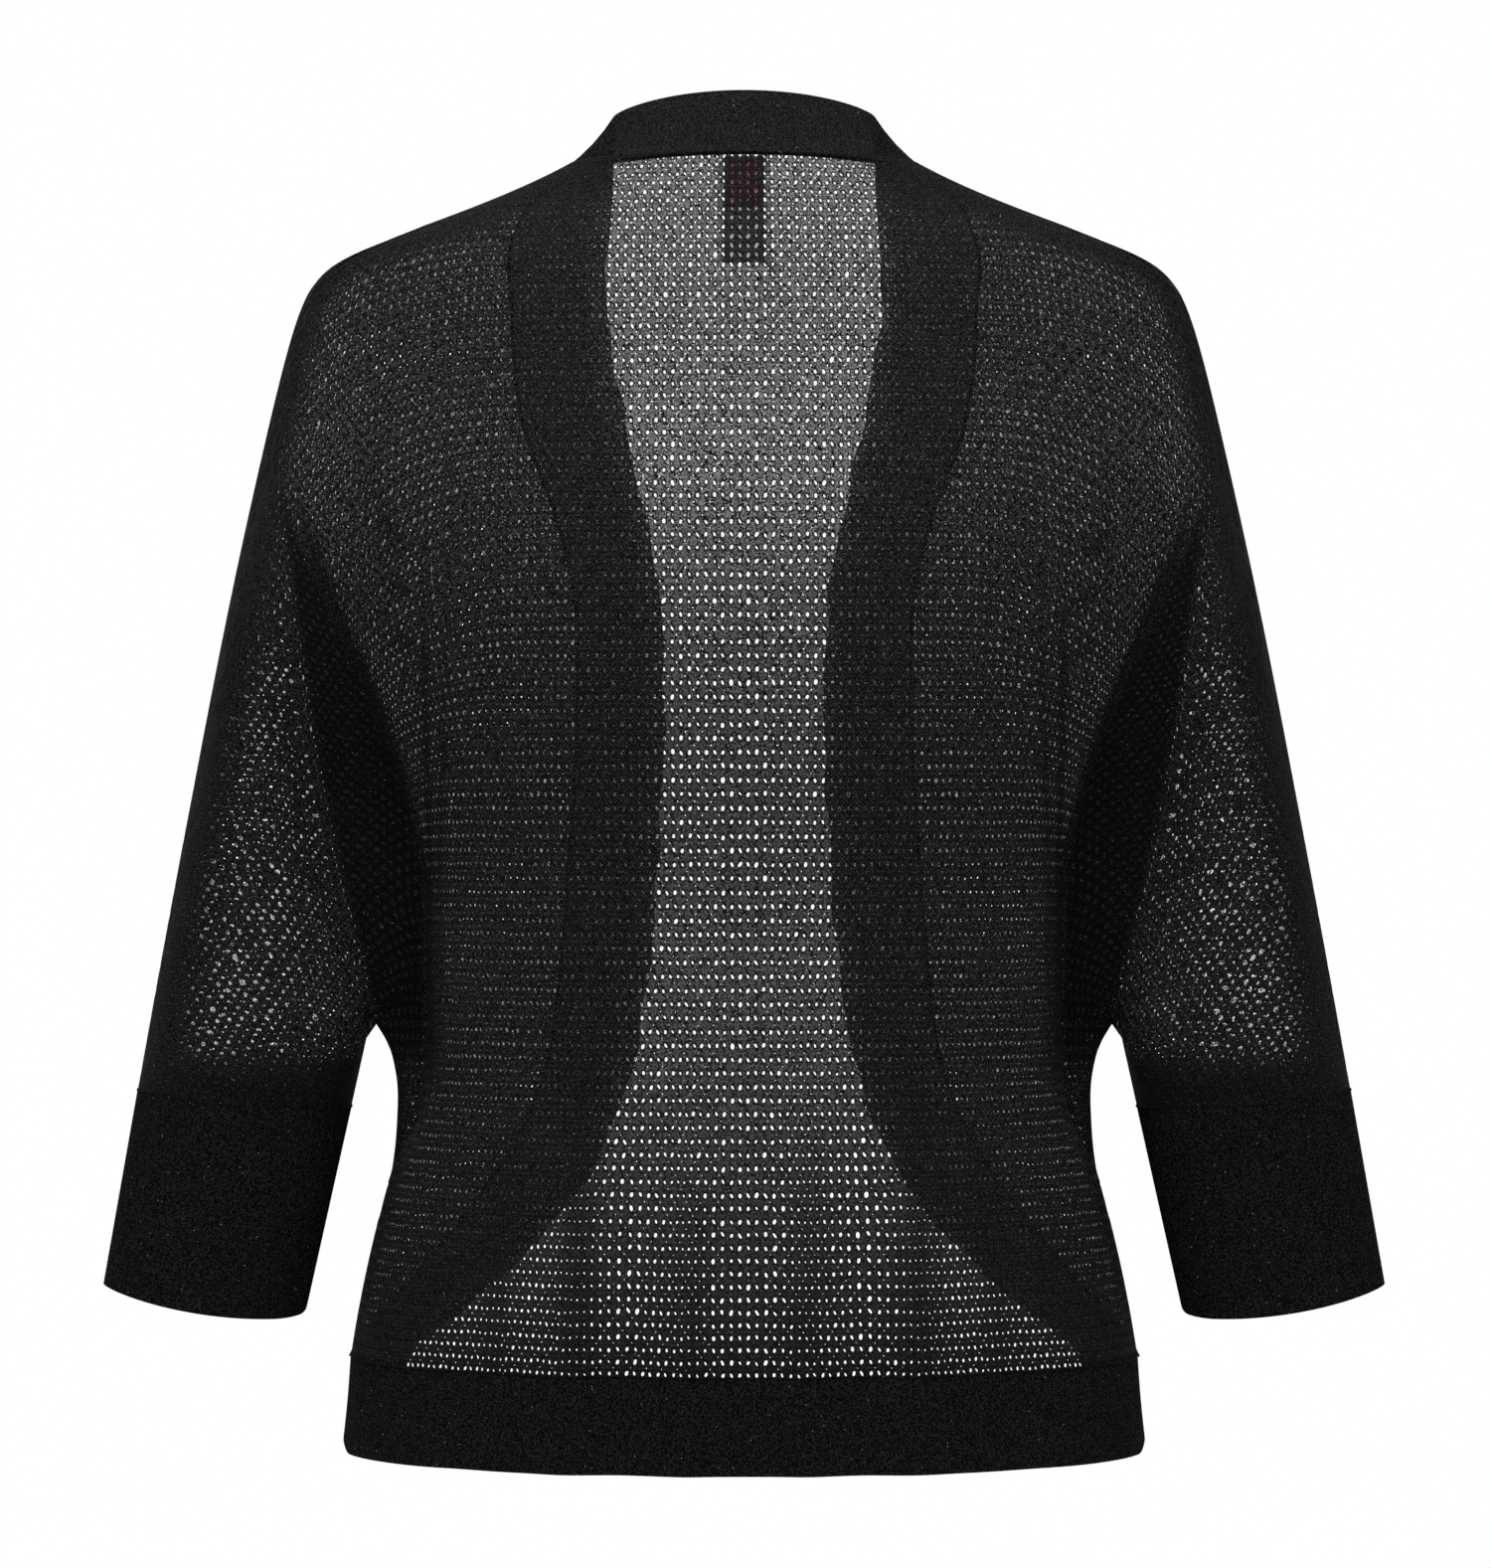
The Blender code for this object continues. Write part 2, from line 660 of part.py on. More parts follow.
def make_cuff(name, mirror, material):
    """A cuff: a whole tube from the cuff seam to its open end."""
    skin = Skin()
    axis = sleeve_axis(mirror)
    rows = []
    for r in range(CUFF_ROWS + 1):
        keys = []
        for k in range(CUFF_STEPS):
            point = ring_point(1.0 + r / CUFF_ROWS, math.tau * k / CUFF_STEPS, mirror)
            if r == 0:
                point += axis * HALF_GAP
            keys.append((r, k))
            skin.add(keys[-1], point, axis if r in (0, CUFF_ROWS) else None)
        keys.append((r, 0))
        rows.append(keys)
    skin.strip(rows if mirror < 0 else [row[::-1] for row in rows])
    return skin.wall(name, RIB_CLOTH, material)


def make_label(material):
    """Bare woven label hanging inside the back neck."""
    skin = Skin()
    rows = []
    for r in range(LABEL_ROWS + 1):
        z = LABEL_TOP + (LABEL_BOTTOM - LABEL_TOP) * r / LABEL_ROWS
        keys = []
        for k, x in enumerate((LABEL_HALF_WIDTH, 0.0, -LABEL_HALF_WIDTH)):
            point = body_point(x, z, "back")
            point.y -= LABEL_INSET
            keys.append((r, k))
            skin.add(keys[-1], point)
        rows.append(keys)
    skin.strip(rows)
    return skin.wall("label", LABEL_CLOTH, material)


def cloth_material(name, colour, roughness):
    """A plain Principled material for one kind of cloth."""
    material = bpy.data.materials.new(name)
    material.use_nodes = True
    shader = material.node_tree.nodes["Principled BSDF"]
    shader.inputs["Base Color"].default_value = (*colour, 1.0)
    shader.inputs["Roughness"].default_value = roughness
    shader.inputs["Metallic"].default_value = 0.0
    return material


def main():
    """Clears the scene and makes every piece."""
    for old in list(bpy.data.objects):
        bpy.data.objects.remove(old, do_unlink=True)
    mesh_knit = cloth_material("eyelet_mesh", (0.016, 0.015, 0.016), 0.85)
    rib_knit = cloth_material("rib", (0.010, 0.010, 0.011), 0.9)
    woven = cloth_material("label_tape", (0.08, 0.012, 0.02), 0.7)
    make_back(mesh_knit)
    make_front("front_left", -1, mesh_knit)
    make_front("front_right", 1, mesh_knit)
    make_front_band(rib_knit)
    make_hem_band(rib_knit)
    make_cuff("cuff_left", -1, rib_knit)
    make_cuff("cuff_right", 1, rib_knit)
    make_label(woven)


main()
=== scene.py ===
"""Open-front knit cardigan in its worn form: eyelet net, rib bands and label.

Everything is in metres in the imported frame: +X across the shoulders, the back
faces +Y, the open front faces -Y and the origin is level with the neck seam.
The net is laid out as knit rows and wales on the same form as the solids, and
Geometry Nodes pierce one eyelet in each cell. Bands are walls with real ribs.
"""
import logging
import math
from dataclasses import dataclass, field, replace
from enum import Enum
from typing import Callable, NamedTuple, Optional

import bmesh
import bpy
import numpy as np
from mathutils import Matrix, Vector


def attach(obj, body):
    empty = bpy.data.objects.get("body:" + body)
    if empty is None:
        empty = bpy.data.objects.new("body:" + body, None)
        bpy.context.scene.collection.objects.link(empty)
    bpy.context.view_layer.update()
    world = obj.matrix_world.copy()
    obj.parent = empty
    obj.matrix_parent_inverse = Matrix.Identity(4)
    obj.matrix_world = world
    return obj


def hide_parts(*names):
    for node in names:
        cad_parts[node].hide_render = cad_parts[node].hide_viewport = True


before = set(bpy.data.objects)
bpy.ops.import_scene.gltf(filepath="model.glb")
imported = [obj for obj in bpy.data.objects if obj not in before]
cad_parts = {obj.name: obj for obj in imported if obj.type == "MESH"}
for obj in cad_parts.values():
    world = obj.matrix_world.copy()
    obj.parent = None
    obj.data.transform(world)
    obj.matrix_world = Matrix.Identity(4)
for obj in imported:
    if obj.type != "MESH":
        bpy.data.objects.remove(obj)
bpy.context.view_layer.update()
LOG = logging.getLogger("cardigan")
BODY = "root"
Array = np.ndarray
Mesh, Object = bpy.types.Mesh, bpy.types.Object


class Face(Enum):
    """Which half of the garment a point lies on; the value is its sign along Y."""

    BACK = 1
    FRONT = -1


class Hand(Enum):
    """A side of the garment; the value is its sign along X."""

    LEFT = -1
    RIGHT = 1


class Part(Enum):
    """A part of a panel of net whose rows are joined to each other."""

    SHOULDER = 0
    BODY = 1
    SLEEVE = 2


class Table:
    """Sizes by height, each read as a smooth curve."""

    def __init__(self, columns: str, *rows: tuple) -> None:
        """Keeps the rows from the lowest up; each starts with its height."""
        self.heights, *values = np.array(sorted(rows), float).T
        self.columns = dict(zip(columns.split(), values))

    def __call__(self, column: str, z: Array) -> Array:
        """Reads a column.

        Args:
            column: its name.
            z: heights.

        Returns:
            Its values at those heights.
        """
        heights, values = self.heights, self.columns[column]
        slopes = np.gradient(values, heights)
        z = np.clip(np.asarray(z, float), heights[0], heights[-1])
        k = np.clip(np.searchsorted(heights, z) - 1, 0, len(heights) - 2)
        span = heights[k + 1] - heights[k]
        t = (z - heights[k]) / span
        start = (2 * t**3 - 3 * t**2 + 1) * values[k]
        start_slope = (t**3 - 2 * t**2 + t) * span * slopes[k]
        end = (3 * t**2 - 2 * t**3) * values[k + 1]
        end_slope = (t**3 - t**2) * span * slopes[k + 1]
        return start + start_slope + end + end_slope


# --- The garment's form, as in the solids ---

HALF_GAP = 0.00015
NECK_HALF, NECK_BACK = 0.081, 0.055
SHOULDER_RUN, SHOULDER_SPREAD, SHOULDER_ROUND = 1.87, 22.6, 0.0401
ARM_LEAN, ARM_BOW, BOW_TOP = 0.194, 0.0027, -0.05
WRIST_X, WRIST_Z = 0.2834, -0.4948
UNDERARM_X, UNDERARM_Z, UNDERARM_DEPTH = 0.165, -0.377, 0.044
SLEEVE_INNER_LEAN = 0.2235
HEM_TOP, HEM_BOTTOM = -0.527, -0.567
HEM_FRONT_TOP_X, HEM_FRONT_BOTTOM_X = 0.15, 0.166
COLLAR_BACK_HEIGHT, COLLAR_SIDE_HEIGHT = 0.029, 0.0205
COLLAR_TOP_HALF, COLLAR_TOP_BACK, COLLAR_ARCH = 0.058, 0.034, 1.6
LABEL_HALF_WIDTH, LABEL_TOP, LABEL_BOTTOM = 0.0085, -0.002, -0.05
FOLD_START, FOLD_FULL = -0.13, -0.29
WEB_DEPTH, WEB_POWER, FLAP_DEPTH, JOIN_POWER = 0.045, 8, 0.008, 4
FRONT_TIP_DEPTH = 0.005
CREASE_DEPTH, CREASE_TOP = 0.03, -0.05      # creases fade where the form is shallower, or higher up

TRUNK = Table(
    "back front power",
    (0.0, NECK_BACK, 0.052, 2.0), (-0.03, 0.07, 0.066, 2.0), (-0.08, 0.088, 0.086, 2.1),
    (-0.15, 0.101, 0.102, 2.4), (-0.23, 0.104, 0.11, 2.7), (-0.33, 0.098, 0.104, 2.8),
    (-0.4, 0.093, 0.096, 2.6), (-0.47, 0.101, 0.098, 2.3), (-0.53, 0.112, 0.102, 2.2),
    (-0.57, 0.115, 0.104, 2.2),
)
SIDES = Table(
    "half trunk_half",
    (UNDERARM_Z, UNDERARM_X, 0.14), (-0.389, 0.1577, 0.14), (-0.402, 0.1542, 0.141),
    (-0.425, 0.1538, 0.146), (-0.442, 0.1555, 0.1545), (-0.477, 0.1643, 0.1643),
    (-0.521, 0.173, 0.173), (-0.556, 0.1775, 0.1775), (-0.57, 0.1775, 0.1775),
)
FOLDS = Table(
    "trunk_edge arm_edge",
    (FOLD_START, 0.207, 0.208), (-0.2, 0.178, 0.197), (-0.255, 0.155, 0.19),
    (-0.3, 0.143, 0.182), (UNDERARM_Z, 0.14, UNDERARM_X),
)
ARMS = Table("depth", (0.0, 0.052), (-0.13, 0.052), (-0.25, 0.048), (UNDERARM_Z, UNDERARM_DEPTH))
BANDS = Table(
    "seam_x free_x free_z turn",
    (0.0, 0.077, 0.058, 0.02, 0.15), (-0.01, 0.0905, 0.0585, 0.009, 0.6),
    (-0.028, 0.103, 0.06, -0.013, 0.95), (-0.06, 0.1045, 0.063, -0.048, 1.0),
    (-0.11, 0.1, 0.0575, -0.093, 1.0), (-0.15, 0.086, 0.049, -0.136, 1.0),
    (-0.185, 0.0775, 0.0405, -0.176, 1.0), (-0.235, 0.076, 0.037, -0.232, 1.0),
    (-0.3, 0.079, 0.0395, -0.3, 1.0), (-0.36, 0.0835, 0.0445, -0.364, 1.0),
    (-0.405, 0.09, 0.0545, -0.414, 1.0), (-0.44, 0.105, 0.0735, -0.456, 1.0),
    (-0.475, 0.13, 0.1045, -0.492, 1.0), (-0.502, 0.153, 0.129, -0.513, 1.0),
    (-0.517, 0.168, 0.142, -0.523, 1.0), (HEM_TOP, 0.1745, 0.15, HEM_TOP, 1.0),
)

# How the knit rows lie: where they start to fan out beside the body and where
# they have the sleeve's whole tilt; and their spacing down the middle
FANS = Table(
    "start full",
    (0.0, 0.093, 0.26), (-0.1, 0.093, 0.23), (-0.2, 0.08, 0.197), (-0.25, 0.105, 0.187),
    (-0.3, 0.125, 0.18), (UNDERARM_Z, 0.145, 0.2), (-0.41, 0.2, 0.26),
)
PITCHES = Table(
    "rows",
    (0.0, 0.004), (-0.04, 0.0042), (-0.1, 0.0052), (-0.16, 0.0056), (-0.46, 0.0056), (-0.53, 0.0051),
)


def ease(low: float, high: float, value: Array) -> Array:
    """0 below low, 1 above high, and smooth between."""
    t = np.clip((value - low) / (high - low), 0.0, 1.0)
    return t * t * (3 - 2 * t)


def unit(vectors: Array) -> Array:
    """The same directions with length 1."""
    return vectors / np.maximum(np.linalg.norm(vectors, axis=-1, keepdims=True), 1e-9)


def lengths(path: Array) -> Array:
    """Distance along a path to each of its points."""
    return np.concatenate([[0.0], np.cumsum(np.linalg.norm(np.diff(path, axis=0), axis=1))])


def overarm(z: Array) -> Array:
    """Half-width of the outline: shoulder line into arm line.

    Args:
        z: heights.

    Returns:
        The half-widths.
    """
    shoulder = NECK_HALF - z * (SHOULDER_RUN - SHOULDER_SPREAD * z)
    bow = ARM_BOW * np.sin(math.pi * np.clip((z - BOW_TOP) / (WRIST_Z - BOW_TOP), 0.0, 1.0))
    arm = WRIST_X + ARM_LEAN * (WRIST_Z - z) + bow
    return (shoulder + arm - np.hypot(shoulder - arm, SHOULDER_ROUND)) / 2


def sleeve_inner(z: Array) -> Array:
    """Inner line of the sleeve below the underarm."""
    return UNDERARM_X + SLEEVE_INNER_LEAN * (UNDERARM_Z - z)


def rounded(x: Array, half: Array, depth: Array, power: Array) -> Array:
    """Depth of a rounded form of the given half-width, at distance x."""
    share = np.clip(np.abs(x) / half, 0.0, 1.0)
    return depth * (1.0 - share**power) ** (1.0 / power)


def run_together(*depths: Array) -> Array:
    """Joins rounded forms, each of which is 0 outside itself."""
    return sum(d**JOIN_POWER for d in depths) ** (1.0 / JOIN_POWER)


class Ring(NamedTuple):
    """A section across the sleeve."""

    inner_z: float
    outer_z: float
    depth: float

    def points(self, angle: Array) -> Array:
        """Points of the section, for +X.

        Args:
            angle: 0 at the inner end and pi at the outer; positive at the back.

        Returns:
            An array of points, one row each.
        """
        share = (1 - np.cos(angle)) / 2
        inner_x, outer_x = sleeve_inner(self.inner_z), overarm(self.outer_z)
        x = inner_x + (outer_x - inner_x) * share
        z = self.inner_z + (self.outer_z - self.inner_z) * share
        return np.stack([x, self.depth * np.sin(angle), z], axis=-1)


CUFF_SEAM, WRIST = Ring(-0.418, -0.4105, 0.04), Ring(-0.509, WRIST_Z, 0.034)


class Crease(NamedTuple):
    """A soft trough or ridge along a line of the cloth."""

    top_x: float
    top_z: float
    bottom_x: float
    bottom_z: float
    width: float
    height: float

    def lift(self, x: Array, z: Array) -> Array:
        """How far the cloth stands out because of this crease.

        Args:
            x: places across.
            z: heights.

        Returns:
            The distances.
        """
        run, fall = self.bottom_x - self.top_x, self.bottom_z - self.top_z
        dx, dz = x - self.top_x, z - self.top_z
        along = np.clip((dx * run + dz * fall) / (run**2 + fall**2), 0, 1)
        away = np.hypot(dx - along * run, dz - along * fall)
        fade = 0.35 + 0.65 * np.sin(math.pi * (0.1 + 0.8 * along))
        return self.height * fade * np.exp(-((away / self.width) ** 2))


CREASES = {
    Face.BACK: (
        (0.074, -0.44, 0.078, -0.575, 0.011, 0.0045), (-0.077, -0.445, -0.075, -0.575, 0.012, 0.004),
        (0.027, -0.455, 0.025, -0.575, 0.01, 0.0035), (-0.024, -0.46, -0.027, -0.575, 0.009, 0.0032),
        (0.051, -0.45, 0.052, -0.575, 0.011, -0.0032), (-0.052, -0.455, -0.05, -0.575, 0.01, -0.003),
        (0.112, -0.4, 0.122, -0.575, 0.013, -0.0035), (-0.108, -0.41, -0.124, -0.575, 0.014, -0.0032),
        (0.15, -0.155, 0.128, -0.33, 0.01, -0.0035), (-0.152, -0.16, -0.126, -0.34, 0.011, -0.0032),
        (0.214, -0.3, 0.236, -0.385, 0.01, -0.003), (-0.212, -0.28, -0.232, -0.375, 0.011, -0.0028),
        (0.202, -0.345, 0.222, -0.405, 0.008, 0.0022), (-0.2, -0.335, -0.224, -0.4, 0.009, 0.0024),
        (0.18, -0.405, 0.248, -0.4, 0.007, 0.003), (-0.178, -0.405, -0.25, -0.399, 0.008, 0.0028),
    ),
    Face.FRONT: (
        (0.148, -0.15, 0.122, -0.345, 0.012, -0.0038), (-0.146, -0.16, -0.124, -0.33, 0.011, -0.0034),
        (0.118, -0.33, 0.15, -0.47, 0.013, 0.0034), (-0.116, -0.34, -0.148, -0.48, 0.012, 0.003),
        (0.212, -0.29, 0.234, -0.38, 0.011, -0.003), (-0.214, -0.3, -0.232, -0.385, 0.01, -0.0032),
        (0.1, -0.12, 0.112, -0.24, 0.014, 0.0026), (-0.102, -0.13, -0.11, -0.25, 0.013, 0.0022),
    ),
}


@dataclass
class Form:
    """The garment's surface with its creases, read at any (x, z)."""

    creases: dict = field(default_factory=lambda: CREASES)

    def upper_depth(self, x: Array, z: Array, face: Face) -> Array:
        """Depth of the cloth above the underarm.

        Args:
            x: places across.
            z: heights.
            face: back or front.

        Returns:
            The depths.
        """
        depth, power, outline = TRUNK(face.name.lower(), z), TRUNK("power", z), overarm(z)
        cape = rounded(x, outline, depth, power)
        arm_edge = FOLDS("arm_edge", z)
        middle = (arm_edge + outline) / 2
        rise = np.clip((z - UNDERARM_Z) / (FOLD_START - UNDERARM_Z), 0.0, 1.0)
        trunk = rounded(x, FOLDS("trunk_edge", z), depth, power)
        arm = rounded(x - middle, (outline - arm_edge) / 2, ARMS("depth", z), 2)
        web = rounded(x, middle, WEB_DEPTH * np.sqrt(rise), WEB_POWER)
        flap = rounded(x, UNDERARM_X, FLAP_DEPTH, JOIN_POWER)
        folded = run_together(trunk, arm, web, flap * (x < UNDERARM_X))
        fold = 1.0 - ease(FOLD_FULL, FOLD_START, z)
        return cape * (1.0 - fold) + folded * fold

    def lower_depth(self, x: Array, z: Array, face: Face) -> Array:
        """Depth of the body's cloth below the underarm."""
        trunk = rounded(x, SIDES("trunk_half", z), TRUNK(face.name.lower(), z), TRUNK("power", z))
        return run_together(trunk, rounded(x, SIDES("half", z), FLAP_DEPTH, JOIN_POWER))

    def sleeve_depth(self, x: Array, z: Array) -> Array:
        """Depth of the sleeve below the underarm.

        Args:
            x: places across.
            z: heights.

        Returns:
            The depths.
        """
        inner = sleeve_inner(z)
        share = np.clip((x - inner) / (overarm(z) - inner), 0.0, 1.0)
        down = np.clip((UNDERARM_Z - z) / (UNDERARM_Z - CUFF_SEAM.inner_z), 0.0, 1.0)
        depth = UNDERARM_DEPTH + (CUFF_SEAM.depth - UNDERARM_DEPTH) * down
        return depth * 2 * np.sqrt(share * (1 - share))

    def surface(self, x: Array, z: Array, face: Face, inset: float = 0.0) -> Array:
        """Points of the cloth.

        Args:
            x: places across, positive or negative.
            z: heights.
            face: back or front.
            inset: how far inside the solid's outer skin the cloth lies.

        Returns:
            An array of points, one row each.
        """
        x, z = np.broadcast_arrays(np.asarray(x, float), np.asarray(z, float))
        ax, level = np.abs(x), np.minimum(z, 0.0)
        beside = ax > (SIDES("half", level) + sleeve_inner(level)) / 2
        lower = np.where(beside, self.sleeve_depth(ax, level), self.lower_depth(ax, level, face))
        depth = np.where(level >= UNDERARM_Z, self.upper_depth(ax, level, face), lower)
        lift = sum((Crease(*row).lift(x, z) for row in self.creases[face]), np.zeros(x.shape))
        lift *= np.clip(depth / CREASE_DEPTH, 0.0, 1.0) * ease(0.0, CREASE_TOP, z)
        y = np.maximum(depth + lift - inset, 0.0) + HALF_GAP
        return np.stack([x, face.value * y, z], axis=-1)


FORM = Form()


def band_seam_x(z: Array) -> Array:
    """Where a front meets its band.

    Args:
        z: heights.

    Returns:
        The places across, for +X.
    """
    half = np.where(z >= UNDERARM_Z, overarm(z), SIDES("half", z))
    power, depth = TRUNK("power", z), TRUNK("front", z)
    tip = half * (1 - (FRONT_TIP_DEPTH / depth) ** power) ** (1 / power)
    return np.minimum(BANDS("seam_x", z), tip)


# --- Node trees ---


def operator(operation: str, turned: bool = False) -> Callable:
    """Makes an operator that adds one Math node.

    Args:
        operation: the node's operation.
        turned: whether the other value comes first.

    Returns:
        The operator.
    """

    def method(self: "Value", other: object) -> "Value":
        """The node's result."""
        return self.nodes.maths(operation, *((other, self) if turned else (self, other)))

    return method


@dataclass(frozen=True)
class Value:
    """An output of a node; arithmetic on it adds Math nodes to its tree."""

    nodes: "Nodes"
    socket: bpy.types.NodeSocket

    __add__, __mul__, __truediv__ = operator("ADD"), operator("MULTIPLY"), operator("DIVIDE")
    __sub__, __rsub__ = operator("SUBTRACT"), operator("SUBTRACT", True)

    def maths(self, operation: str, *others: object) -> "Value":
        """The result of a Math node that starts with this value."""
        return self.nodes.maths(operation, self, *others)

    def span(self, low: float, high: float) -> "Value":
        """The value with low to high stretched over 0 to 1."""
        return self.nodes.add("ShaderNodeMapRange", {"Value": self, "From Min": low, "From Max": high})

    def out(self, name: str) -> "Value":
        """Another output of the same node."""
        return Value(self.nodes, self.socket.node.outputs[name])


@dataclass(frozen=True)
class Nodes:
    """Adds and links the nodes of one tree."""

    tree: bpy.types.NodeTree

    def fill(self, node: bpy.types.Node, inputs: dict) -> None:
        """Links or sets a node's inputs.

        Args:
            node: the node.
            inputs: values by name or number of the input.
        """
        for key, value in inputs.items():
            if isinstance(value, Value):
                self.tree.links.new(value.socket, node.inputs[key])
            else:
                node.inputs[key].default_value = value

    def add(self, kind: str, inputs: Optional[dict] = None, output: object = 0, **settings: object) -> Value:
        """Adds a node.

        Args:
            kind: the node's type.
            inputs: values for its inputs, by name or number.
            output: the output that is wanted, by name or number.
            settings: the node's own properties.

        Returns:
            That output.
        """
        node = self.tree.nodes.new(kind)
        for name, value in settings.items():
            setattr(node, name, value)
        self.fill(node, inputs or {})
        return Value(self, node.outputs[output])

    def maths(self, operation: str, *values: object) -> Value:
        """A Math node's result."""
        return self.add("ShaderNodeMath", dict(enumerate(values)), operation=operation)

    def vectors(self, operation: str, vector: Value, other: object) -> Value:
        """Adds a Vector Math node.

        Args:
            operation: the node's operation.
            vector: its first input.
            other: its second input, or the scale.

        Returns:
            Its result.
        """
        inputs = {0: vector, "Scale" if operation == "SCALE" else 1: other}
        output = "Value" if operation == "DOT_PRODUCT" else "Vector"
        return self.add("ShaderNodeVectorMath", inputs, output, operation=operation)

    def mix(self, share: Value, low: object, high: object) -> Value:
        """Mixes two numbers or two colours.

        Args:
            share: 0 for low and 1 for high.
            low: the first of them.
            high: the second of them.

        Returns:
            The mixture.
        """
        colour = isinstance(high, tuple)
        first, output, kind = (6, 2, "RGBA") if colour else (2, 0, "FLOAT")
        return self.add("ShaderNodeMix", {0: share, first: low, first + 1: high}, output, data_type=kind)

    def attribute(self, name: str, data_type: str = "FLOAT_VECTOR") -> Value:
        """A named attribute, in a geometry tree."""
        return self.add("GeometryNodeInputNamedAttribute", {"Name": name}, "Attribute", data_type=data_type)

    def layer(self, name: str) -> Value:
        """A number that the mesh carries, in a material."""
        return self.add("ShaderNodeAttribute", output="Fac", attribute_name=name)

    def store(self, name: str, geometry: Value, value: Value, data_type: str, domain: str) -> Value:
        """Stores an attribute, in a geometry tree."""
        inputs = {"Geometry": geometry, "Name": name, "Value": value}
        return self.add("GeometryNodeStoreNamedAttribute", inputs, data_type=data_type, domain=domain)


def geometry_tree(name: str, *sizes: str) -> tuple:
    """Starts a geometry tree whose inputs are the geometry, the named sizes and the material.

    Args:
        name: the tree's name.
        sizes: names of its sizes.

    Returns:
        The tree's Nodes, and the geometry that it gets.
    """
    tree = bpy.data.node_groups.new(name, "GeometryNodeTree")
    kinds = {"Geometry": "Geometry", **dict.fromkeys(sizes, "Float"), "Material": "Material"}
    for label, kind in kinds.items():
        tree.interface.new_socket(label, in_out="INPUT", socket_type="NodeSocket" + kind)
    tree.interface.new_socket("Geometry", in_out="OUTPUT", socket_type="NodeSocketGeometry")
    nodes = Nodes(tree)
    return nodes, nodes.add("NodeGroupInput")


def close_tree(nodes: Nodes, geometry: Value, source: Value) -> bpy.types.NodeTree:
    """Ends a tree with smooth shading, realized instances and the material.

    Args:
        nodes: the tree's Nodes.
        geometry: what the tree has made.
        source: the tree's own inputs.

    Returns:
        The finished tree.
    """
    geometry = nodes.add("GeometryNodeSetShadeSmooth", {"Geometry": geometry})
    geometry = nodes.add("GeometryNodeRealizeInstances", {"Geometry": geometry})
    dress = {"Geometry": geometry, "Material": source.out("Material")}
    nodes.fill(nodes.tree.nodes.new("NodeGroupOutput"), {0: nodes.add("GeometryNodeSetMaterial", dress)})
    return nodes.tree


def eyelet_tree() -> bpy.types.NodeTree:
    """Pierces an oval eyelet in each cell marked for it and rounds the yarn round it.

    Returns:
        The tree.
    """
    nodes, source = geometry_tree("Eyelets", "Recess")
    read, vectors = nodes.attribute, nodes.vectors
    cut = {"Mesh": source, "Selection": read("pierced", "BOOLEAN"), "Offset Scale": 0.0, "Individual": True}
    mesh = nodes.add("GeometryNodeExtrudeMesh", cut, mode="FACES")
    away = vectors("SUBTRACT", nodes.add("GeometryNodeInputPosition"), read("centre"))
    u, v = (vectors("DOT_PRODUCT", away, read(name)) for name in ("cell_u", "cell_v"))
    radius = (u * u + v * v).maths("SQRT").maths("MAXIMUM", 0.001)
    across = vectors("SCALE", read("across"), u / radius)
    down = vectors("SCALE", read("down"), v / radius)
    sink = vectors("SCALE", read("outward"), source.out("Recess") * -1.0)
    place = vectors("ADD", vectors("ADD", read("eye"), vectors("ADD", across, down)), sink)
    top = mesh.out("Top")
    mesh = nodes.add("GeometryNodeSetPosition", {"Geometry": mesh, "Selection": top, "Position": place})
    mesh = nodes.add("GeometryNodeDeleteGeometry", {"Geometry": mesh, "Selection": top}, domain="FACE")
    in_cell = nodes.add("ShaderNodeCombineXYZ", {"X": u * 0.5, "Y": v * 0.5})
    mesh = nodes.store("UVMap", mesh, vectors("ADD", in_cell, read("cell")), "FLOAT2", "CORNER")
    return close_tree(nodes, mesh, source)


def rib_tree() -> bpy.types.NodeTree:
    """Raises the ribs of a band along its stored length.

    Returns:
        The tree.
    """
    nodes, source = geometry_tree("Ribs", "Pitch", "Height")
    crest = (nodes.attribute("along", "FLOAT") / source.out("Pitch") * math.tau).maths("COSINE")
    # The crest is also read by the material, which paints shade in the grooves by it
    mesh = nodes.store("crest", source, crest, "FLOAT", "POINT")
    lift = nodes.vectors("SCALE", nodes.attribute("outward"), crest * source.out("Height"))
    mesh = nodes.add("GeometryNodeSetPosition", {"Geometry": mesh, "Offset": lift})
    return close_tree(nodes, mesh, source)


def stitch_tree() -> bpy.types.NodeTree:
    """Lays one loop of yarn on each point of a seam, slanting along it.

    Returns:
        The tree.
    """
    nodes, source = geometry_tree("Linking", "Length", "Width")
    width = source.out("Width")
    slant = {"Vector": nodes.attribute("slant")}
    loops = {
        "Points": nodes.add("GeometryNodeMeshToPoints", {"Mesh": source}),
        "Instance": nodes.add("GeometryNodeMeshIcoSphere", {"Radius": 1.0, "Subdivisions": 1}),
        "Rotation": nodes.add("FunctionNodeAlignRotationToVector", slant, axis="X"),
        "Scale": nodes.add("ShaderNodeCombineXYZ", {"X": source.out("Length"), "Y": width, "Z": width}),
    }
    return close_tree(nodes, nodes.add("GeometryNodeInstanceOnPoints", loops), source)


def in_scene(name: str, data: bpy.types.ID) -> Object:
    """Puts a new object in the scene.

    Args:
        name: its name.
        data: its mesh, camera or light.

    Returns:
        The object.
    """
    item = bpy.data.objects.new(name, data)
    bpy.context.scene.collection.objects.link(item)
    return item


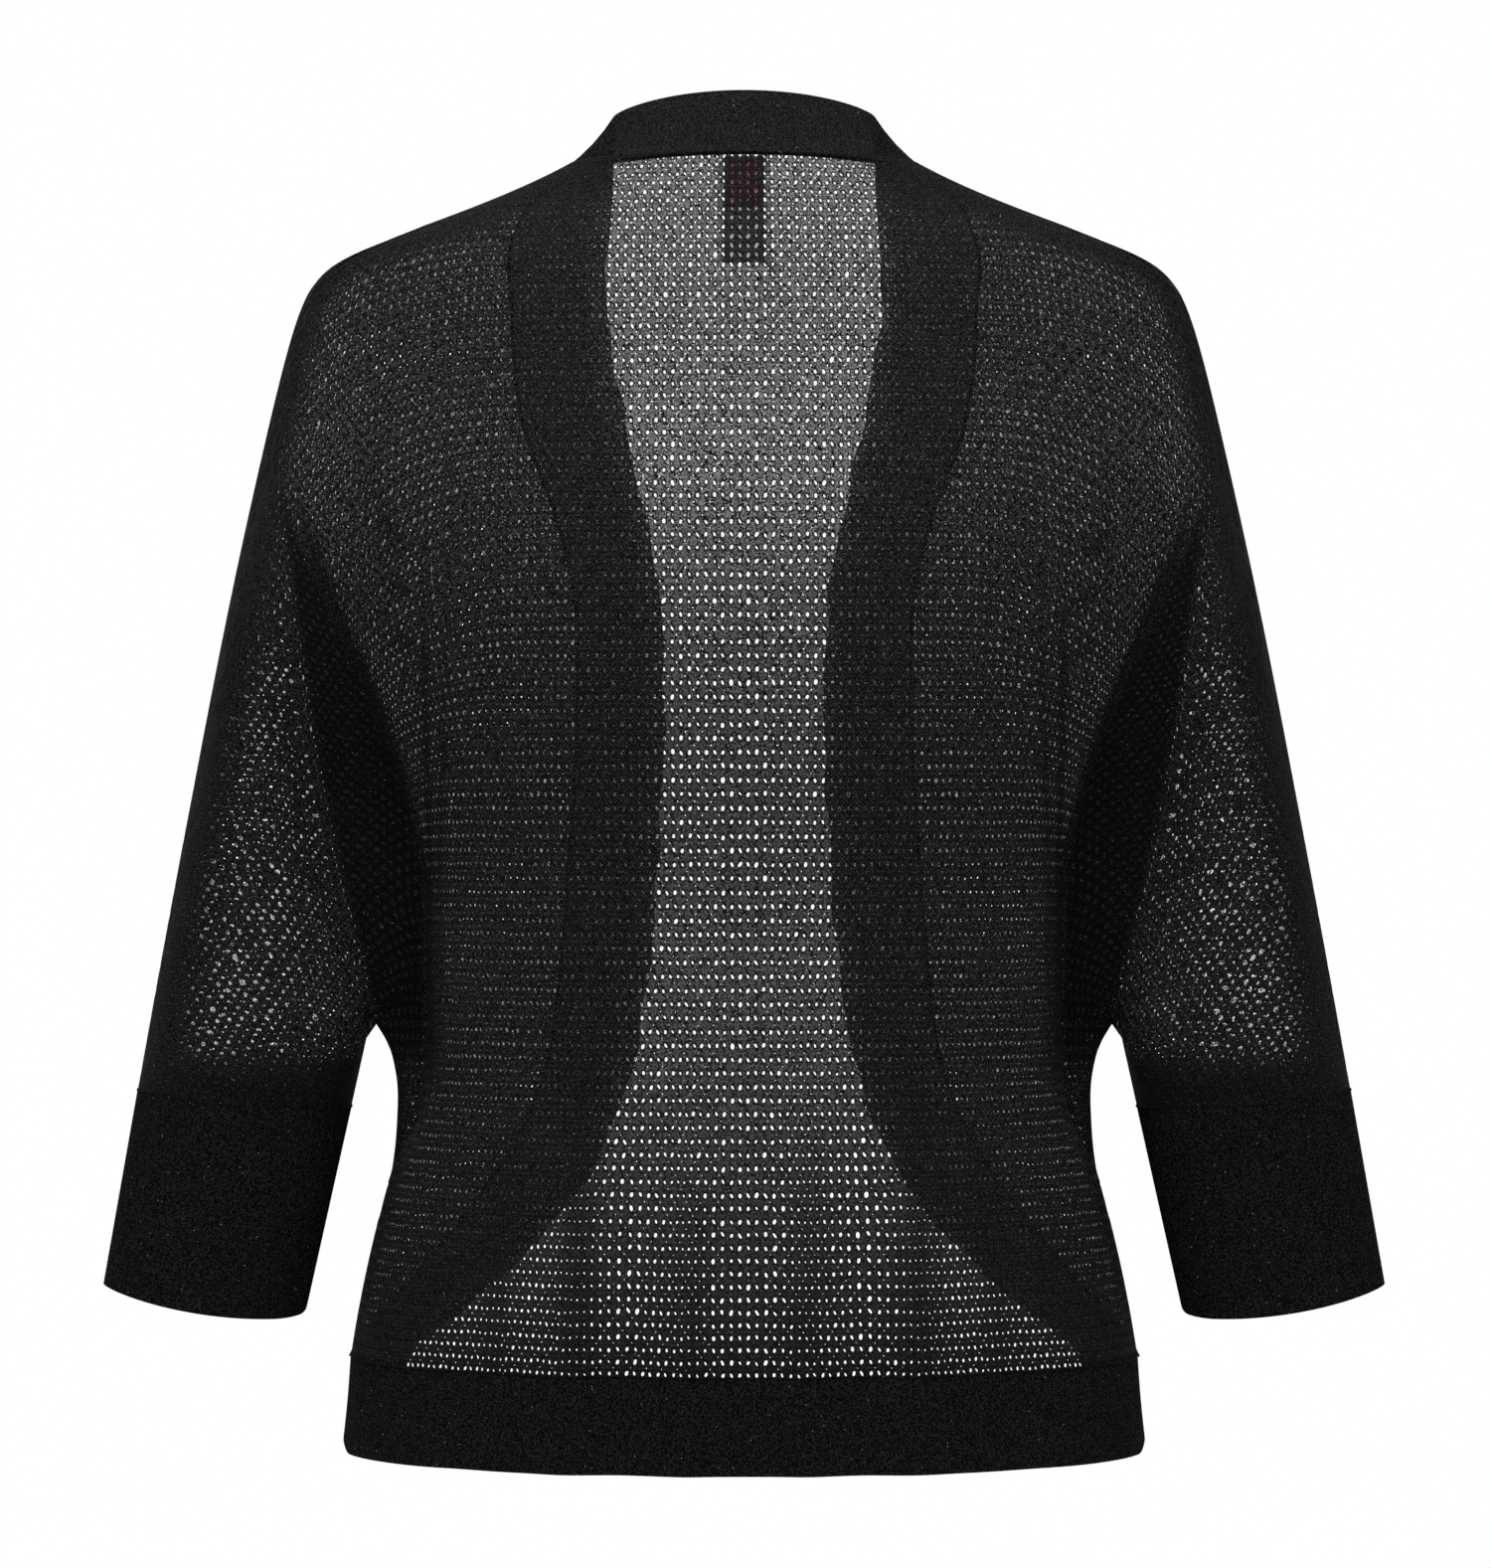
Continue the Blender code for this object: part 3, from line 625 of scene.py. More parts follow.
def store(mesh: Mesh, domain: str, **layers: Array) -> None:
    """Stores vectors, marks or numbers on a mesh.

    Args:
        mesh: the mesh.
        domain: what the values belong to, its points or its faces.
        layers: the values by name, one for each element of the domain.
    """
    for name, values in layers.items():
        marks, kind = values.dtype == bool, "FLOAT_VECTOR" if values.ndim == 2 else "FLOAT"
        layer = mesh.attributes.new(name, "BOOLEAN" if marks else kind, domain)
        key = "vector" if values.ndim == 2 else "value"
        layer.data.foreach_set(key, values.astype(bool if marks else np.float32).ravel())


def grow(mesh: Mesh, tree: bpy.types.NodeTree, values: dict, spent: tuple = ()) -> Object:
    """Runs a geometry tree on a mesh and keeps the result as a plain mesh.

    Args:
        mesh: what the tree starts from; it has the piece's name.
        tree: the geometry tree.
        values: the tree's inputs by name.
        spent: names of attributes that the finished piece doesn't need.

    Returns:
        The finished object.
    """
    name = mesh.name
    seed = in_scene(name + "_seed", mesh)
    modifier = seed.modifiers.new("Grow", "NODES")
    modifier.node_group = tree
    for item in tree.interface.items_tree:
        if item.in_out == "INPUT" and item.name in values:
            modifier[item.identifier] = values[item.name]
    seed.update_tag()
    depsgraph = bpy.context.evaluated_depsgraph_get()
    result = bpy.data.meshes.new_from_object(seed.evaluated_get(depsgraph))
    seed.modifiers.remove(modifier)
    bpy.data.objects.remove(seed, do_unlink=True)
    result.name = name
    for label in spent:
        result.attributes.remove(result.attributes[label])
    return in_scene(name, result)


# --- Finishes ---


def new_material(name: str) -> tuple:
    """Makes a material.

    Args:
        name: its name.

    Returns:
        The material, the Nodes of its tree and its shader.
    """
    material = bpy.data.materials.new(name)
    material.use_nodes = True
    return material, Nodes(material.node_tree), material.node_tree.nodes["Principled BSDF"]


def cell_place(nodes: Nodes) -> tuple:
    """Place on the net, counted in cells across and down."""
    split = nodes.add("ShaderNodeSeparateXYZ", {0: nodes.add("ShaderNodeUVMap", uv_map="UVMap")})
    return split, split.out("Y")


def off_centre(u: Value, v: Value) -> Value:
    """Distance from the middle of the cell that holds (u, v)."""
    du, dv = u.maths("FRACT") - 0.5, v.maths("FRACT") - 0.5
    return (du * du + dv * dv).maths("SQRT")


@dataclass(frozen=True)
class Yarn:
    """A black knitting yarn as it looks in one kind of cloth.

    The relief is the name of a mesh attribute that says how far the knit stands
    out, and pores the name of one that says how much light passes between fibres.
    A tone is how much the relief lightens the yarn with painted light on its crowns, and the tone in its
    grooves, which is painted shade.
    """

    name: str
    groove: tuple
    crown: tuple
    specular: float
    fuzz_scale: float
    fuzz_height: float
    roughness: float = 0.85
    fibre_span: tuple = (0.46, 0.62)
    rib_tone: tuple = (0.8, 0.2)
    stitch_tone: tuple = (0.9, 0.1)
    heap_tone: tuple = (1.9, 0.08)
    heap_share: float = 0.85
    bump: float = 0.6
    glint: tuple = (0.1, 0.095, 0.095, 1.0)
    glint_scale: float = 1100.0
    glint_share: float = 0.007
    glint_size: float = 0.3
    stitches_across: float = 2.0
    stitches_down: float = 3.0
    relief: str = ""
    pores: str = ""
    pore_scale: float = 1500.0

    def material(self) -> bpy.types.Material:
        """Makes the material: fibres, uneven dye with painted shade in its grooves and where the knit is
        heaped, painted glints and lint, and open pores.

        Returns:
            The material.
        """
        material, nodes, shader = new_material(self.name)
        place = nodes.add("ShaderNodeTexCoord", output="Object")
        fibre = nodes.add("ShaderNodeTexNoise", {"Vector": place, "Scale": self.fuzz_scale, "Detail": 3.0})
        tone, height = fibre.span(*self.fibre_span), fibre
        if self.relief:
            raised = nodes.layer(self.relief).span(-1.0, 1.0)
            # Painted shade and light: the rib is darker in its grooves and lighter on its crests
            tone = tone * (raised * self.rib_tone[0] + self.rib_tone[1])
        else:
            raised, swell, closed = self.stitches(nodes), self.swell(nodes), nodes.layer("closed")
            # Painted shade where the knit is heaped, with painted light on the middle of each bump
            heap_shading = (swell * swell * self.heap_tone[0] + self.heap_tone[1]) * self.heap_share
            # Painted shade and light on the stitches: darker between them, lighter on their crowns
            sharp = raised * raised * self.stitch_tone[0] + self.stitch_tone[1]
            tone = tone * sharp * nodes.mix(closed, 1.0, heap_shading)
            height = height + raised + swell * closed * 2.0
        # Random fibre tone together with painted light and shade mixes the groove's painted shade with the
        # crown's colour
        dye_and_shade = nodes.mix(tone, (*self.groove, 1.0), (*self.crown, 1.0))
        bump = {"Strength": self.bump, "Distance": self.fuzz_height, "Height": height}
        nodes.fill(shader, {
            "Specular IOR Level": self.specular,
            "Base Color": self.glints(nodes, place, dye_and_shade),
            "Roughness": fibre * 0.2 + (self.roughness - 0.1),
            "Normal": nodes.add("ShaderNodeBump", bump),
        })
        if self.pores:
            nodes.fill(shader, {"Alpha": self.cover(nodes, place, raised)})
        return material

    def swell(self, nodes: Nodes) -> Value:
        """Height of the bump that each closed cell makes, 1 in its middle; by it the material also paints
        light on each bump's middle and shade round it.
        """
        u, v = cell_place(nodes)
        return off_centre(v.maths("FLOOR") * 0.5 + u, v).span(0.52, 0.12)

    def stitches(self, nodes: Nodes) -> Value:
        """Height of the V-shaped stitches across and down each cell, by which the material also paints light
        on their crowns.

        Args:
            nodes: the material's nodes.

        Returns:
            The height, from 0 to 1.
        """
        u, v = cell_place(nodes)
        leg = ((u * self.stitches_across).maths("FRACT") - 0.5).maths("ABSOLUTE")
        wave = ((v * self.stitches_down + leg * 1.4) * math.tau).maths("SINE")
        return (wave * (1.2 - leg)).span(-1.0, 1.0)

    def glints(self, nodes: Nodes, place: Value, colour: Value) -> Value:
        """Adds sparse lighter specks: painted glints of sparkling fibre, and specks of lint and stray fibre.

        Args:
            nodes: the material's nodes.
            place: coordinates on the cloth.
            colour: the dye.

        Returns:
            The colour with its specks.
        """
        # Sparse specks: painted glints of sparkling fibre, and lint
        speck = nodes.add("ShaderNodeTexVoronoi", {"Vector": place, "Scale": self.glint_scale}, "Color")
        rare = nodes.add("ShaderNodeSeparateColor", {0: speck}).maths("LESS_THAN", self.glint_share)
        near = speck.out("Distance").maths("LESS_THAN", self.glint_size)
        return nodes.mix(rare * near, colour, self.glint)

    def cover(self, nodes: Nodes, place: Value, raised: Value) -> Value:
        """How much of the cloth is covered by fibre.

        Pores are open and uneven. In a rib they lie between the ribs. In net they
        are even in every other patch between the eyelets, and closed in the yarn
        that runs round an eyelet.

        Args:
            nodes: the material's nodes.
            place: coordinates on the cloth.
            raised: how far the knit stands out, from 0 to 1.

        Returns:
            The covered share.
        """
        pore = nodes.add("ShaderNodeTexNoise", {"Vector": place, "Scale": self.pore_scale, "Detail": 1.0})
        if self.relief:
            light = pore.span(0.35, 0.65) * 2.0 * (1.5 - raised)
        else:
            u, v = cell_place(nodes)
            wales, rows = ((way * math.pi).maths("COSINE") for way in (u, v))
            patch = (wales * rows).span(-0.1, -0.75)
            light = nodes.mix(patch, pore.span(0.49, 0.6) * 3.7, pore.span(0.42, 0.6) * 2.2 + 0.4)
            light = light * off_centre(u, v).span(0.2, 0.42) * 1.35
        return 1.0 - nodes.layer(self.pores) * light


# Each yarn's first colour is the painted shade of its grooves, its second the colour of its lit crowns
NET_YARN = Yarn("eyelet_mesh", (0.0012, 0.0012, 0.0013), (0.024, 0.0235, 0.024), 0.03, 1400.0, 0.0004,
                pores="thin")
RIB_YARN = Yarn("rib", (0.0006, 0.0006, 0.0007), (0.015, 0.0146, 0.0152), 0.02, 1300.0, 0.0003,
                relief="crest")
BAND_YARN = replace(RIB_YARN, name="band_rib", pores="thin", pore_scale=1100.0)


@dataclass(frozen=True)
class Tape:
    """The label's bare sheer tape: one colour above, another below."""

    name: str = "label_tape"
    upper: tuple = (0.42, 0.022, 0.085)
    lower: tuple = (0.075, 0.04, 0.045)
    upper_cover: float = 0.8
    lower_cover: float = 0.42
    change_z: float = -0.0255
    change_reach: float = 0.0006
    thread_scale: float = 500.0

    def material(self) -> bpy.types.Material:
        """Makes the material, with its weave in cover and bump.

        Returns:
            The material.
        """
        material, nodes, shader = new_material(self.name)
        place = nodes.add("ShaderNodeTexCoord", output="Object")
        height = nodes.add("ShaderNodeSeparateXYZ", {0: place}, "Z")
        share = height.span(self.change_z - self.change_reach, self.change_z + self.change_reach)
        wave = {"Vector": place, "Scale": self.thread_scale, "Distortion": 2.0}
        weave = nodes.add("ShaderNodeTexWave", wave, "Fac", wave_type="BANDS", bands_direction="DIAGONAL")
        cover = nodes.mix(share, self.lower_cover, self.upper_cover)
        nodes.fill(shader, {
            "Base Color": nodes.mix(share, (*self.lower, 1.0), (*self.upper, 1.0)),
            "Roughness": 0.6,
            "Alpha": cover + (weave * 0.08 - 0.04),
            "Normal": nodes.add("ShaderNodeBump", {"Strength": 0.5, "Distance": 0.0002, "Height": weave}),
        })
        return material


# --- The eyelet net ---

ROW_SAMPLES = 700
WALE_PITCH, SLEEVE_WALE_PITCH, SLEEVE_ROW_PITCH = 0.0036, 0.003, 0.0044
END_MARGIN = 0.45 * WALE_PITCH
SLEEVE_TILT = math.radians(57)
FOLD_HEAD_X, FOLD_HEAD_Z = 0.197, -0.2
WALE_EASE = 0.12          # share by which uneven wales even out from row to row
WAIST_Z = -0.415
TRACE_STEP, TRACE_END = 0.0005, 0.3
STRAY_BODY, STRAY_FRONT, STRAY_SLEEVE = 0.0001, 0.0005, 0.00046
SMALL_EYELET = (0.00034, 0.00046)
SLACK_X = 0.14            # the knit is less even from here across
OPEN_ENOUGH = 0.72        # openness over which crossings have small eyelets
NET_INSET = 0.0005
STEEP_REACH = 0.0008      # how far to each side the cloth's slope is taken
RIM_HASTE = 0.65          # under 1, points past a short row leave its end sooner
SNAP_REACH = 0.003        # how near the outline an edge point has to be
CREASE_X = 0.137          # the sharp crease beside the trunk, down to the underarm

# Share of the light that passes between the fibres of the back, by height
THINS = Table(
    "share",
    (0.0, 0.076), (-0.06, 0.06), (-0.125, 0.068), (-0.2, 0.032), (-0.28, 0.018), (-0.367, 0.024),
    (-0.433, 0.014), (-0.53, 0.0),
)
SLEEVE_THIN = 0.45

# The fronts hang less stretched: smaller eyelets, but looser between the fibres
FRONT_THIN, FRONT_SLEEVE_THIN = 0.088, 0.172
FRONT_OPEN, FRONT_SLEEVE_OPEN = 0.5, 0.6

# Shares by which eyelets close in the fold, above the cuff, at the outline and along the outer sleeve
FOLD_CLOSES, CUFF_CLOSES, EDGE_CLOSES, OUTER_CLOSES = 0.85, 0.75, 0.45, 0.5

# Where soft folds draw the back's eyelets together; the height is the share by which they close
GATHERS = (
    (0.069, -0.4, 0.072, -0.59, 0.009, 0.62), (-0.074, -0.41, -0.076, -0.59, 0.0095, 0.58),
    (0.02, -0.45, 0.025, -0.59, 0.008, 0.34), (-0.027, -0.445, -0.024, -0.59, 0.0085, 0.36),
    (0.104, -0.435, 0.109, -0.565, 0.007, 0.4), (-0.107, -0.44, -0.112, -0.57, 0.007, 0.36),
    (0.158, -0.16, 0.145, -0.171, 0.003, 0.85), (0.154, -0.184, 0.143, -0.194, 0.0028, 0.8),
    (0.15, -0.208, 0.14, -0.219, 0.003, 0.85), (-0.157, -0.166, -0.145, -0.176, 0.003, 0.8),
    (-0.152, -0.19, -0.142, -0.199, 0.0028, 0.75), (-0.149, -0.213, -0.14, -0.222, 0.003, 0.8),
)


def slackness(x: Array, z: Array) -> tuple:
    """How far the cloth belongs to the fold beside the body, and to the dense knit above the cuff.

    Args:
        x: places across.
        z: heights.

    Returns:
        Both shares, from 0 to 1.
    """
    x = np.abs(x)
    trunk, arm = FOLDS("trunk_edge", z), FOLDS("arm_edge", z)
    fold = ease(-0.001, 0.004, x - trunk) * (1 - ease(-0.006, 0.0, x - arm))
    fold = fold * ease(-0.128, -0.142, z) * ease(UNDERARM_Z - 0.035, UNDERARM_Z - 0.004, z)
    line = np.exp(-(((x - CREASE_X) / 0.0019) ** 2)) * ease(-0.15, -0.24, z) * ease(-0.415, -0.395, z)
    cuff = ease(-0.39, -0.403, z) * (x > sleeve_inner(z) - 0.002)
    return np.maximum(fold, 0.7 * line), cuff


def gathering(x: Array, z: Array) -> Array:
    """How far the soft folds close the back's eyelets at (x, z)."""
    return np.clip(sum(Crease(*row).lift(x, z) for row in GATHERS), 0.0, 0.9)


def border(x: Array, z: Array) -> Array:
    """How far the cloth lies inside the outline, where it turns away over the arm or side.

    Args:
        x: places across.
        z: heights.

    Returns:
        Shares, 0 on the outline and 1 well inside.
    """
    x = np.abs(x)
    reach = 0.0005
    slope = (overarm(z - reach) - overarm(z + reach)) / (2 * reach)
    turn = 0.012 + 0.007 * ease(0.16, 0.22, x)
    inside = ease(0.0, 1.0, (overarm(z) - x) / np.hypot(1.0, slope) / turn)
    half = SIDES("half", z)
    return inside * np.where((z < UNDERARM_Z) & (x < half + 0.002), ease(0.0, 0.006, half - x), 1.0)


def outer_sleeve(x: Array, z: Array) -> Array:
    """How far (x, z) lies towards the outer edge of the sleeve, from 0 to 1."""
    inner = np.maximum(FOLDS("arm_edge", z), 0.19)
    return ease(0.58, 0.94, (np.abs(x) - inner) / (overarm(z) - inner)) * ease(-0.1, -0.16, z)


def on_sleeve(x: Array, start: float = 0.16) -> Array:
    """0 on the body and 1 on the sleeve, from start across."""
    return ease(start, 0.21, np.abs(x))


def openness(x: Array, z: Array, face: Face) -> Array:
    """How far the eyelets are drawn open: least in the fold and above the cuffs.

    Args:
        x: places across.
        z: heights.
        face: back or front.

    Returns:
        Shares of their full size.
    """
    fold, cuff = slackness(x, z)
    sleeve = on_sleeve(x)
    share = (1.0 - FOLD_CLOSES * fold) * (1.0 - CUFF_CLOSES * cuff)
    share = share * (1.0 - EDGE_CLOSES + EDGE_CLOSES * border(x, z))
    share = share * (1.0 - 0.1 * ease(-0.4, -0.53, z) * (1.0 - sleeve))
    share = share * (1.0 - OUTER_CLOSES * outer_sleeve(x, z))
    if face is Face.BACK:
        return share * (1.0 - 0.7 * gathering(x, z)) * (1.0 + 0.08 * sleeve)
    return share * (FRONT_OPEN + (FRONT_SLEEVE_OPEN - FRONT_OPEN) * sleeve)


def thinness(x: Array, z: Array, face: Face) -> Array:
    """How much light passes between the fibres; the label's place is closer knit.

    Args:
        x: places across.
        z: heights.
        face: back or front.

    Returns:
        Shares of the light.
    """
    fold, cuff = slackness(x, z)
    open_share = (1 - fold) * (1 - 0.8 * cuff) * border(x, z) * (1 - 0.6 * outer_sleeve(x, z))
    if face is Face.FRONT:
        return open_share * (FRONT_THIN + (FRONT_SLEEVE_THIN - FRONT_THIN) * on_sleeve(x))
    behind = ease(0.012, 0.009, np.abs(x)) * ease(LABEL_BOTTOM - 0.003, LABEL_BOTTOM, z)
    share = THINS("share", z) * (1.0 - (1.0 - SLEEVE_THIN) * on_sleeve(x)) * (1.0 - 0.7 * behind)
    return open_share * share * (1.0 - gathering(x, z))


def heap_and_shade(x: Array, z: Array, face: Face) -> Array:
    """How far the knit is heaped together, so that its bumps show, and how much painted shade the material
    gives it: most in the fold beside the body, less above the cuff and least in the soft folds of the back.

    Args:
        x: places across.
        z: heights.
        face: back or front.

    Returns:
        Shares, from 0 to 1.
    """
    fold, cuff = slackness(x, z)
    gather = gathering(x, z) if face is Face.BACK else 0.0
    return np.clip(fold + 0.5 * cuff + 0.3 * gather, 0.0, 1.0)


def wale_pitch(x: Array, z: Array) -> Array:
    """Spacing of the wales at (x, z): closer towards the sides and in the waist."""
    pitch = WALE_PITCH + (SLEEVE_WALE_PITCH - WALE_PITCH) * ease(0.045, 0.105, x)
    return pitch * (1.0 - 0.13 * np.exp(-(((z - WAIST_Z) / 0.05) ** 2)))


@dataclass
class Row:
    """One knit row on the cloth, and the wales that cross it."""

    x: Array
    z: Array
    s: Array
    start_s: float
    end_s: float
    name: tuple
    wales: dict = field(default_factory=dict)

    @classmethod
    def along(cls, name: tuple, low: float, high: float, height: Callable, face: Face,
              start: Optional[float] = None) -> "Row":
        """Samples a row and measures it along the cloth.

        Args:
            name: the row's name.
            low: where its line starts across.
            high: where it ends.
            height: gives its height at a place across.
            face: back or front.
            start: where the cloth starts on it, if not at low.

        Returns:
            The row.
        """
        x = low + (high - low) * (1 - np.cos(np.linspace(0, math.pi, ROW_SAMPLES))) / 2
        z = height(x)
        s = lengths(FORM.surface(x, z, face))
        begin = 0.0 if start is None else float(np.interp(start, x, s))
        return cls(x, z, s, begin, float(s[-1]), name)

    def at(self, s: float) -> tuple:
        """(x, z) at a distance along the row."""
        return float(np.interp(s, self.s, self.x)), float(np.interp(s, self.s, self.z))

    def add_wales(self, j: int, end: float) -> None:
        """Adds wales after the last one.

        Args:
            j: the last wale.
            end: how far along the row they go.
        """
        while self.wales[j] < end:
            self.wales[j + 1] = self.wales[j] + float(wale_pitch(*self.at(self.wales[j])))
            j += 1

    def inside(self) -> tuple:
        """Finds the wales that cross the row clear of its ends.

        Returns:
            The first and the last of them; the last comes before the first if there are none.
        """
        low, high = self.start_s + END_MARGIN, self.end_s - END_MARGIN
        kept = [j for j, s in self.wales.items() if low < s < high]
        if kept:
            return min(kept), max(kept)
        first = min([j for j, s in self.wales.items() if s >= low], default=max(self.wales) + 1)
        return first, first - 1


def carry_wales(above: Row, below: Row, face: Face, anchored: bool) -> None:
    """Carries the wales of one row square across to the next, easing their spacing.

    Args:
        above: the row whose wales are known.
        below: the row that gets them.
        face: back or front.
        anchored: whether wale 0 keeps its place from the middle.
    """
    names = sorted(above.wales)
    if not anchored:
        reach = 2 * SLEEVE_WALE_PITCH
        names = [j for j in names if above.start_s - reach < above.wales[j] < above.end_s + reach]
    known = np.array([above.wales[j] for j in names])
    here = FORM.surface(np.interp(known, above.s, above.x), np.interp(known, above.s, above.z), face)
    line = FORM.surface(below.x, below.z, face)
    nearest = np.argmin(((here[:, None, :] - line[None]) ** 2).sum(axis=2), axis=1)
    k = np.clip(nearest, 1, len(line) - 2)
    crossing = below.s[k] + ((here - line[k]) * unit(line[k + 1] - line[k - 1])).sum(axis=1)
    target = wale_pitch(np.interp(crossing, below.s, below.x), np.interp(crossing, below.s, below.z))[1:]
    steps = np.diff(crossing)
    steps = np.clip(steps + WALE_EASE * (target - steps), 0.75 * target, 1.35 * target)
    middle = len(names) // 2
    first = known[0] if anchored else crossing[middle] - steps[:middle].sum()
    below.wales = dict(zip(names, first + np.concatenate([[0.0], np.cumsum(steps)])))
    below.add_wales(names[-1], below.s[-1])
    j = names[0]
    while below.wales[j] > 0.0 and not anchored:
        below.wales[j - 1] = below.wales[j] - SLEEVE_WALE_PITCH
        j -= 1


def meeting(x: Array, gap: Array, k: int) -> float:
    """Where gap changes sign between samples k - 1 and k."""
    a, b = gap[k - 1], gap[k]
    return float(x[k - 1] + (x[k] - x[k - 1]) * a / (a - b))


class Net:
    """One panel of eyelet net, cut in one with its part of the sleeve, as its +X half.

    A point has a name, and the cells on both sides of it find it by that name.
    """

    def __init__(self, face: Face) -> None:
        """Lays out the rows and the cells between them.

        Args:
            face: back or front.
        """
        self.face = face
        self.index, self.flat, self.closed, self.cells = {}, [], [], []
        self.rng = np.random.default_rng(31 + face.value)
        self.lay_out()

    def levels(self) -> Array:
        """Heights of the rows down the middle.

        Returns:
            The heights, from the top down.
        """
        z = [0.0]
        while z[-1] > HEM_TOP:
            z.append(z[-1] - float(PITCHES("rows", z[-1])))
        z = np.array(z) * (HEM_TOP / z[-1])
        if self.face is Face.FRONT:
            z = np.concatenate([z[:1], (z[1:] + z[:-1]) / 2, z[-1:]])
        return z

    def lay_out(self) -> None:
        """Makes the body's rows, the sleeve's rows and the cells between them."""
        x, heights = np.arange(0.0, TRACE_END, TRACE_STEP), [self.levels()]
        for place in x[:-1]:
            z = heights[-1]
            tilt = SLEEVE_TILT * ease(FANS("start", z), FANS("full", z), place)
            heights.append(z - TRACE_STEP * np.tan(tilt))
        heights = np.array(heights)
        last_full = int(np.nonzero(heights[np.searchsorted(x, FOLD_HEAD_X)] >= FOLD_HEAD_Z)[0].max())
        rows = []
        for k, z in enumerate(heights.T):
            lower = np.where(z >= UNDERARM_Z, FOLDS("arm_edge", z), SIDES("half", z))
            edge = overarm(z) if k <= last_full else lower
            end, start = meeting(x, edge - x, int(np.argmax(x > edge))), None
            if self.face is Face.FRONT:
                seam = band_seam_x(z)
                start = min(meeting(x, seam - x, int(np.argmax(x > seam))), end - 0.0006)
            line = lambda at, z=z: np.interp(at, x, z)
            rows.append(Row.along(("level", k), 0.0, end, line, self.face, start))
        hem = rows[-1]
        hem.wales = {0: 0.0 if self.face is Face.BACK else 0.5 * WALE_PITCH}
        for j in range(int(hem.s[-1] / SLEEVE_WALE_PITCH) + 1):
            hem.wales[j + 1] = hem.wales[j] + float(wale_pitch(*hem.at(hem.wales[j])))
        for k in range(len(rows) - 2, -1, -1):
            carry_wales(rows[k + 1], rows[k], self.face, True)
        head = rows[last_full]
        head_s = float(np.interp(FOLD_HEAD_X, head.x, head.s))
        outer = replace(head, start_s=head_s)
        self.weave(rows[:last_full + 1], Part.SHOULDER)
        self.weave([replace(head, end_s=head_s)] + rows[last_full + 1:], Part.BODY)
        self.weave([outer] + self.sleeve_rows(outer), Part.SLEEVE)

    def sleeve_rows(self, head: Row) -> list:
        """Makes the straight slanting rows of the sleeve, down to the inner end of the cuff seam.

        Args:
            head: the row that they hang from.

        Returns:
            The rows, from the top down.
        """
        rows, head_at = [head], head.at(head.start_s)
        slope, x = math.tan(SLEEVE_TILT), np.arange(0.15, TRACE_END, TRACE_STEP)
        low_x, high_x = float(sleeve_inner(CUFF_SEAM.inner_z)), float(overarm(CUFF_SEAM.outer_z))
        rise = CUFF_SEAM.outer_z - CUFF_SEAM.inner_z
        seam = CUFF_SEAM.inner_z + rise * (x - low_x) / (high_x - low_x)
        while True:
            fall = len(rows) * SLEEVE_ROW_PITCH
            through = head_at[0] - fall * math.sin(SLEEVE_TILT), head_at[1] - fall * math.cos(SLEEVE_TILT)
            z = through[1] - slope * (x - through[0])
            edge = np.where(z >= UNDERARM_Z, FOLDS("arm_edge", z), sleeve_inner(z))
            within = (x >= edge) & (x <= overarm(z)) & (z >= seam)
            if within.sum() < 3:
                break
            first, last = np.nonzero(within)[0][[0, -1]]
            start = meeting(x, x - edge, first)
            end = meeting(x, np.minimum(overarm(z) - x, (z - seam) * 4), last + 1)
            line = lambda at, to=through: to[1] - slope * (at - to[0])
            rows.append(Row.along(("slant", len(rows)), start, end, line, self.face))
            carry_wales(rows[-2], rows[-1], self.face, False)
        level = lambda at: np.full_like(at, CUFF_SEAM.inner_z)
        tip = Row.along(("slant", 0), low_x, low_x + 1e-6, level, self.face)
        tip.wales = {max(rows[-1].wales): 0.0}
        return rows[1:] + [tip]

    def vertex(self, key: tuple, x: float, z: float, edge: bool) -> int:
        """Finds a point by its name, and makes it if it is new.

        Args:
            key: its name.
            x: its place across.
            z: its height.
            edge: whether it lies on an edge and moves onto the outline.

        Returns:
            Its index.
        """
        if key not in self.index:
            x, closed = self.snap(x, z) if edge else (x, False)
            self.index[key] = len(self.flat)
            self.flat.append((x, z))
            self.closed.append(closed)
        return self.index[key]

    @staticmethod
    def snap(x: float, z: float) -> tuple:
        """Moves an edge point onto the outline that it lies on.

        Args:
            x: its place across.
            z: its height.

        Returns:
            Its new place across, and whether that is on a seam between back and front.
        """
        outline = float(overarm(z))
        slope = (float(overarm(z - 0.001)) - float(overarm(z + 0.001))) / 0.002
        if abs(x - outline) / math.hypot(1.0, slope) < SNAP_REACH + 0.0002:
            return outline, True
        if z <= UNDERARM_Z:
            for line in (float(SIDES("half", z)), float(sleeve_inner(z))):
                if abs(x - line) < SNAP_REACH:
                    return line, True
        return x, False

    def stray(self, x: float, z: float) -> tuple:
        """How far a loop strays from its place: more in the sleeve's slack cloth, least at the outline.

        Args:
            x: its place across.
            z: its height.

        Returns:
            How far it moves across and up.
        """
        body = STRAY_BODY if self.face is Face.BACK else STRAY_FRONT
        size = body + (STRAY_SLEEVE - body) * float(on_sleeve(x, SLACK_X))
        fold, _ = slackness(np.array(x), np.array(z))
        size *= float(border(np.array(x), np.array(min(z, 0.0)))) * (1 - 0.8 * float(fold))
        dx, dz = size * np.clip(self.rng.normal(0.0, 1.0, 2), -2.0, 2.0)
        beside = FORM.surface(np.array([x - STEEP_REACH, x + STEEP_REACH]), np.array([z, z]), self.face)
        return dx / math.hypot(1.0, float(beside[1, 1] - beside[0, 1]) / (2 * STEEP_REACH)), dz

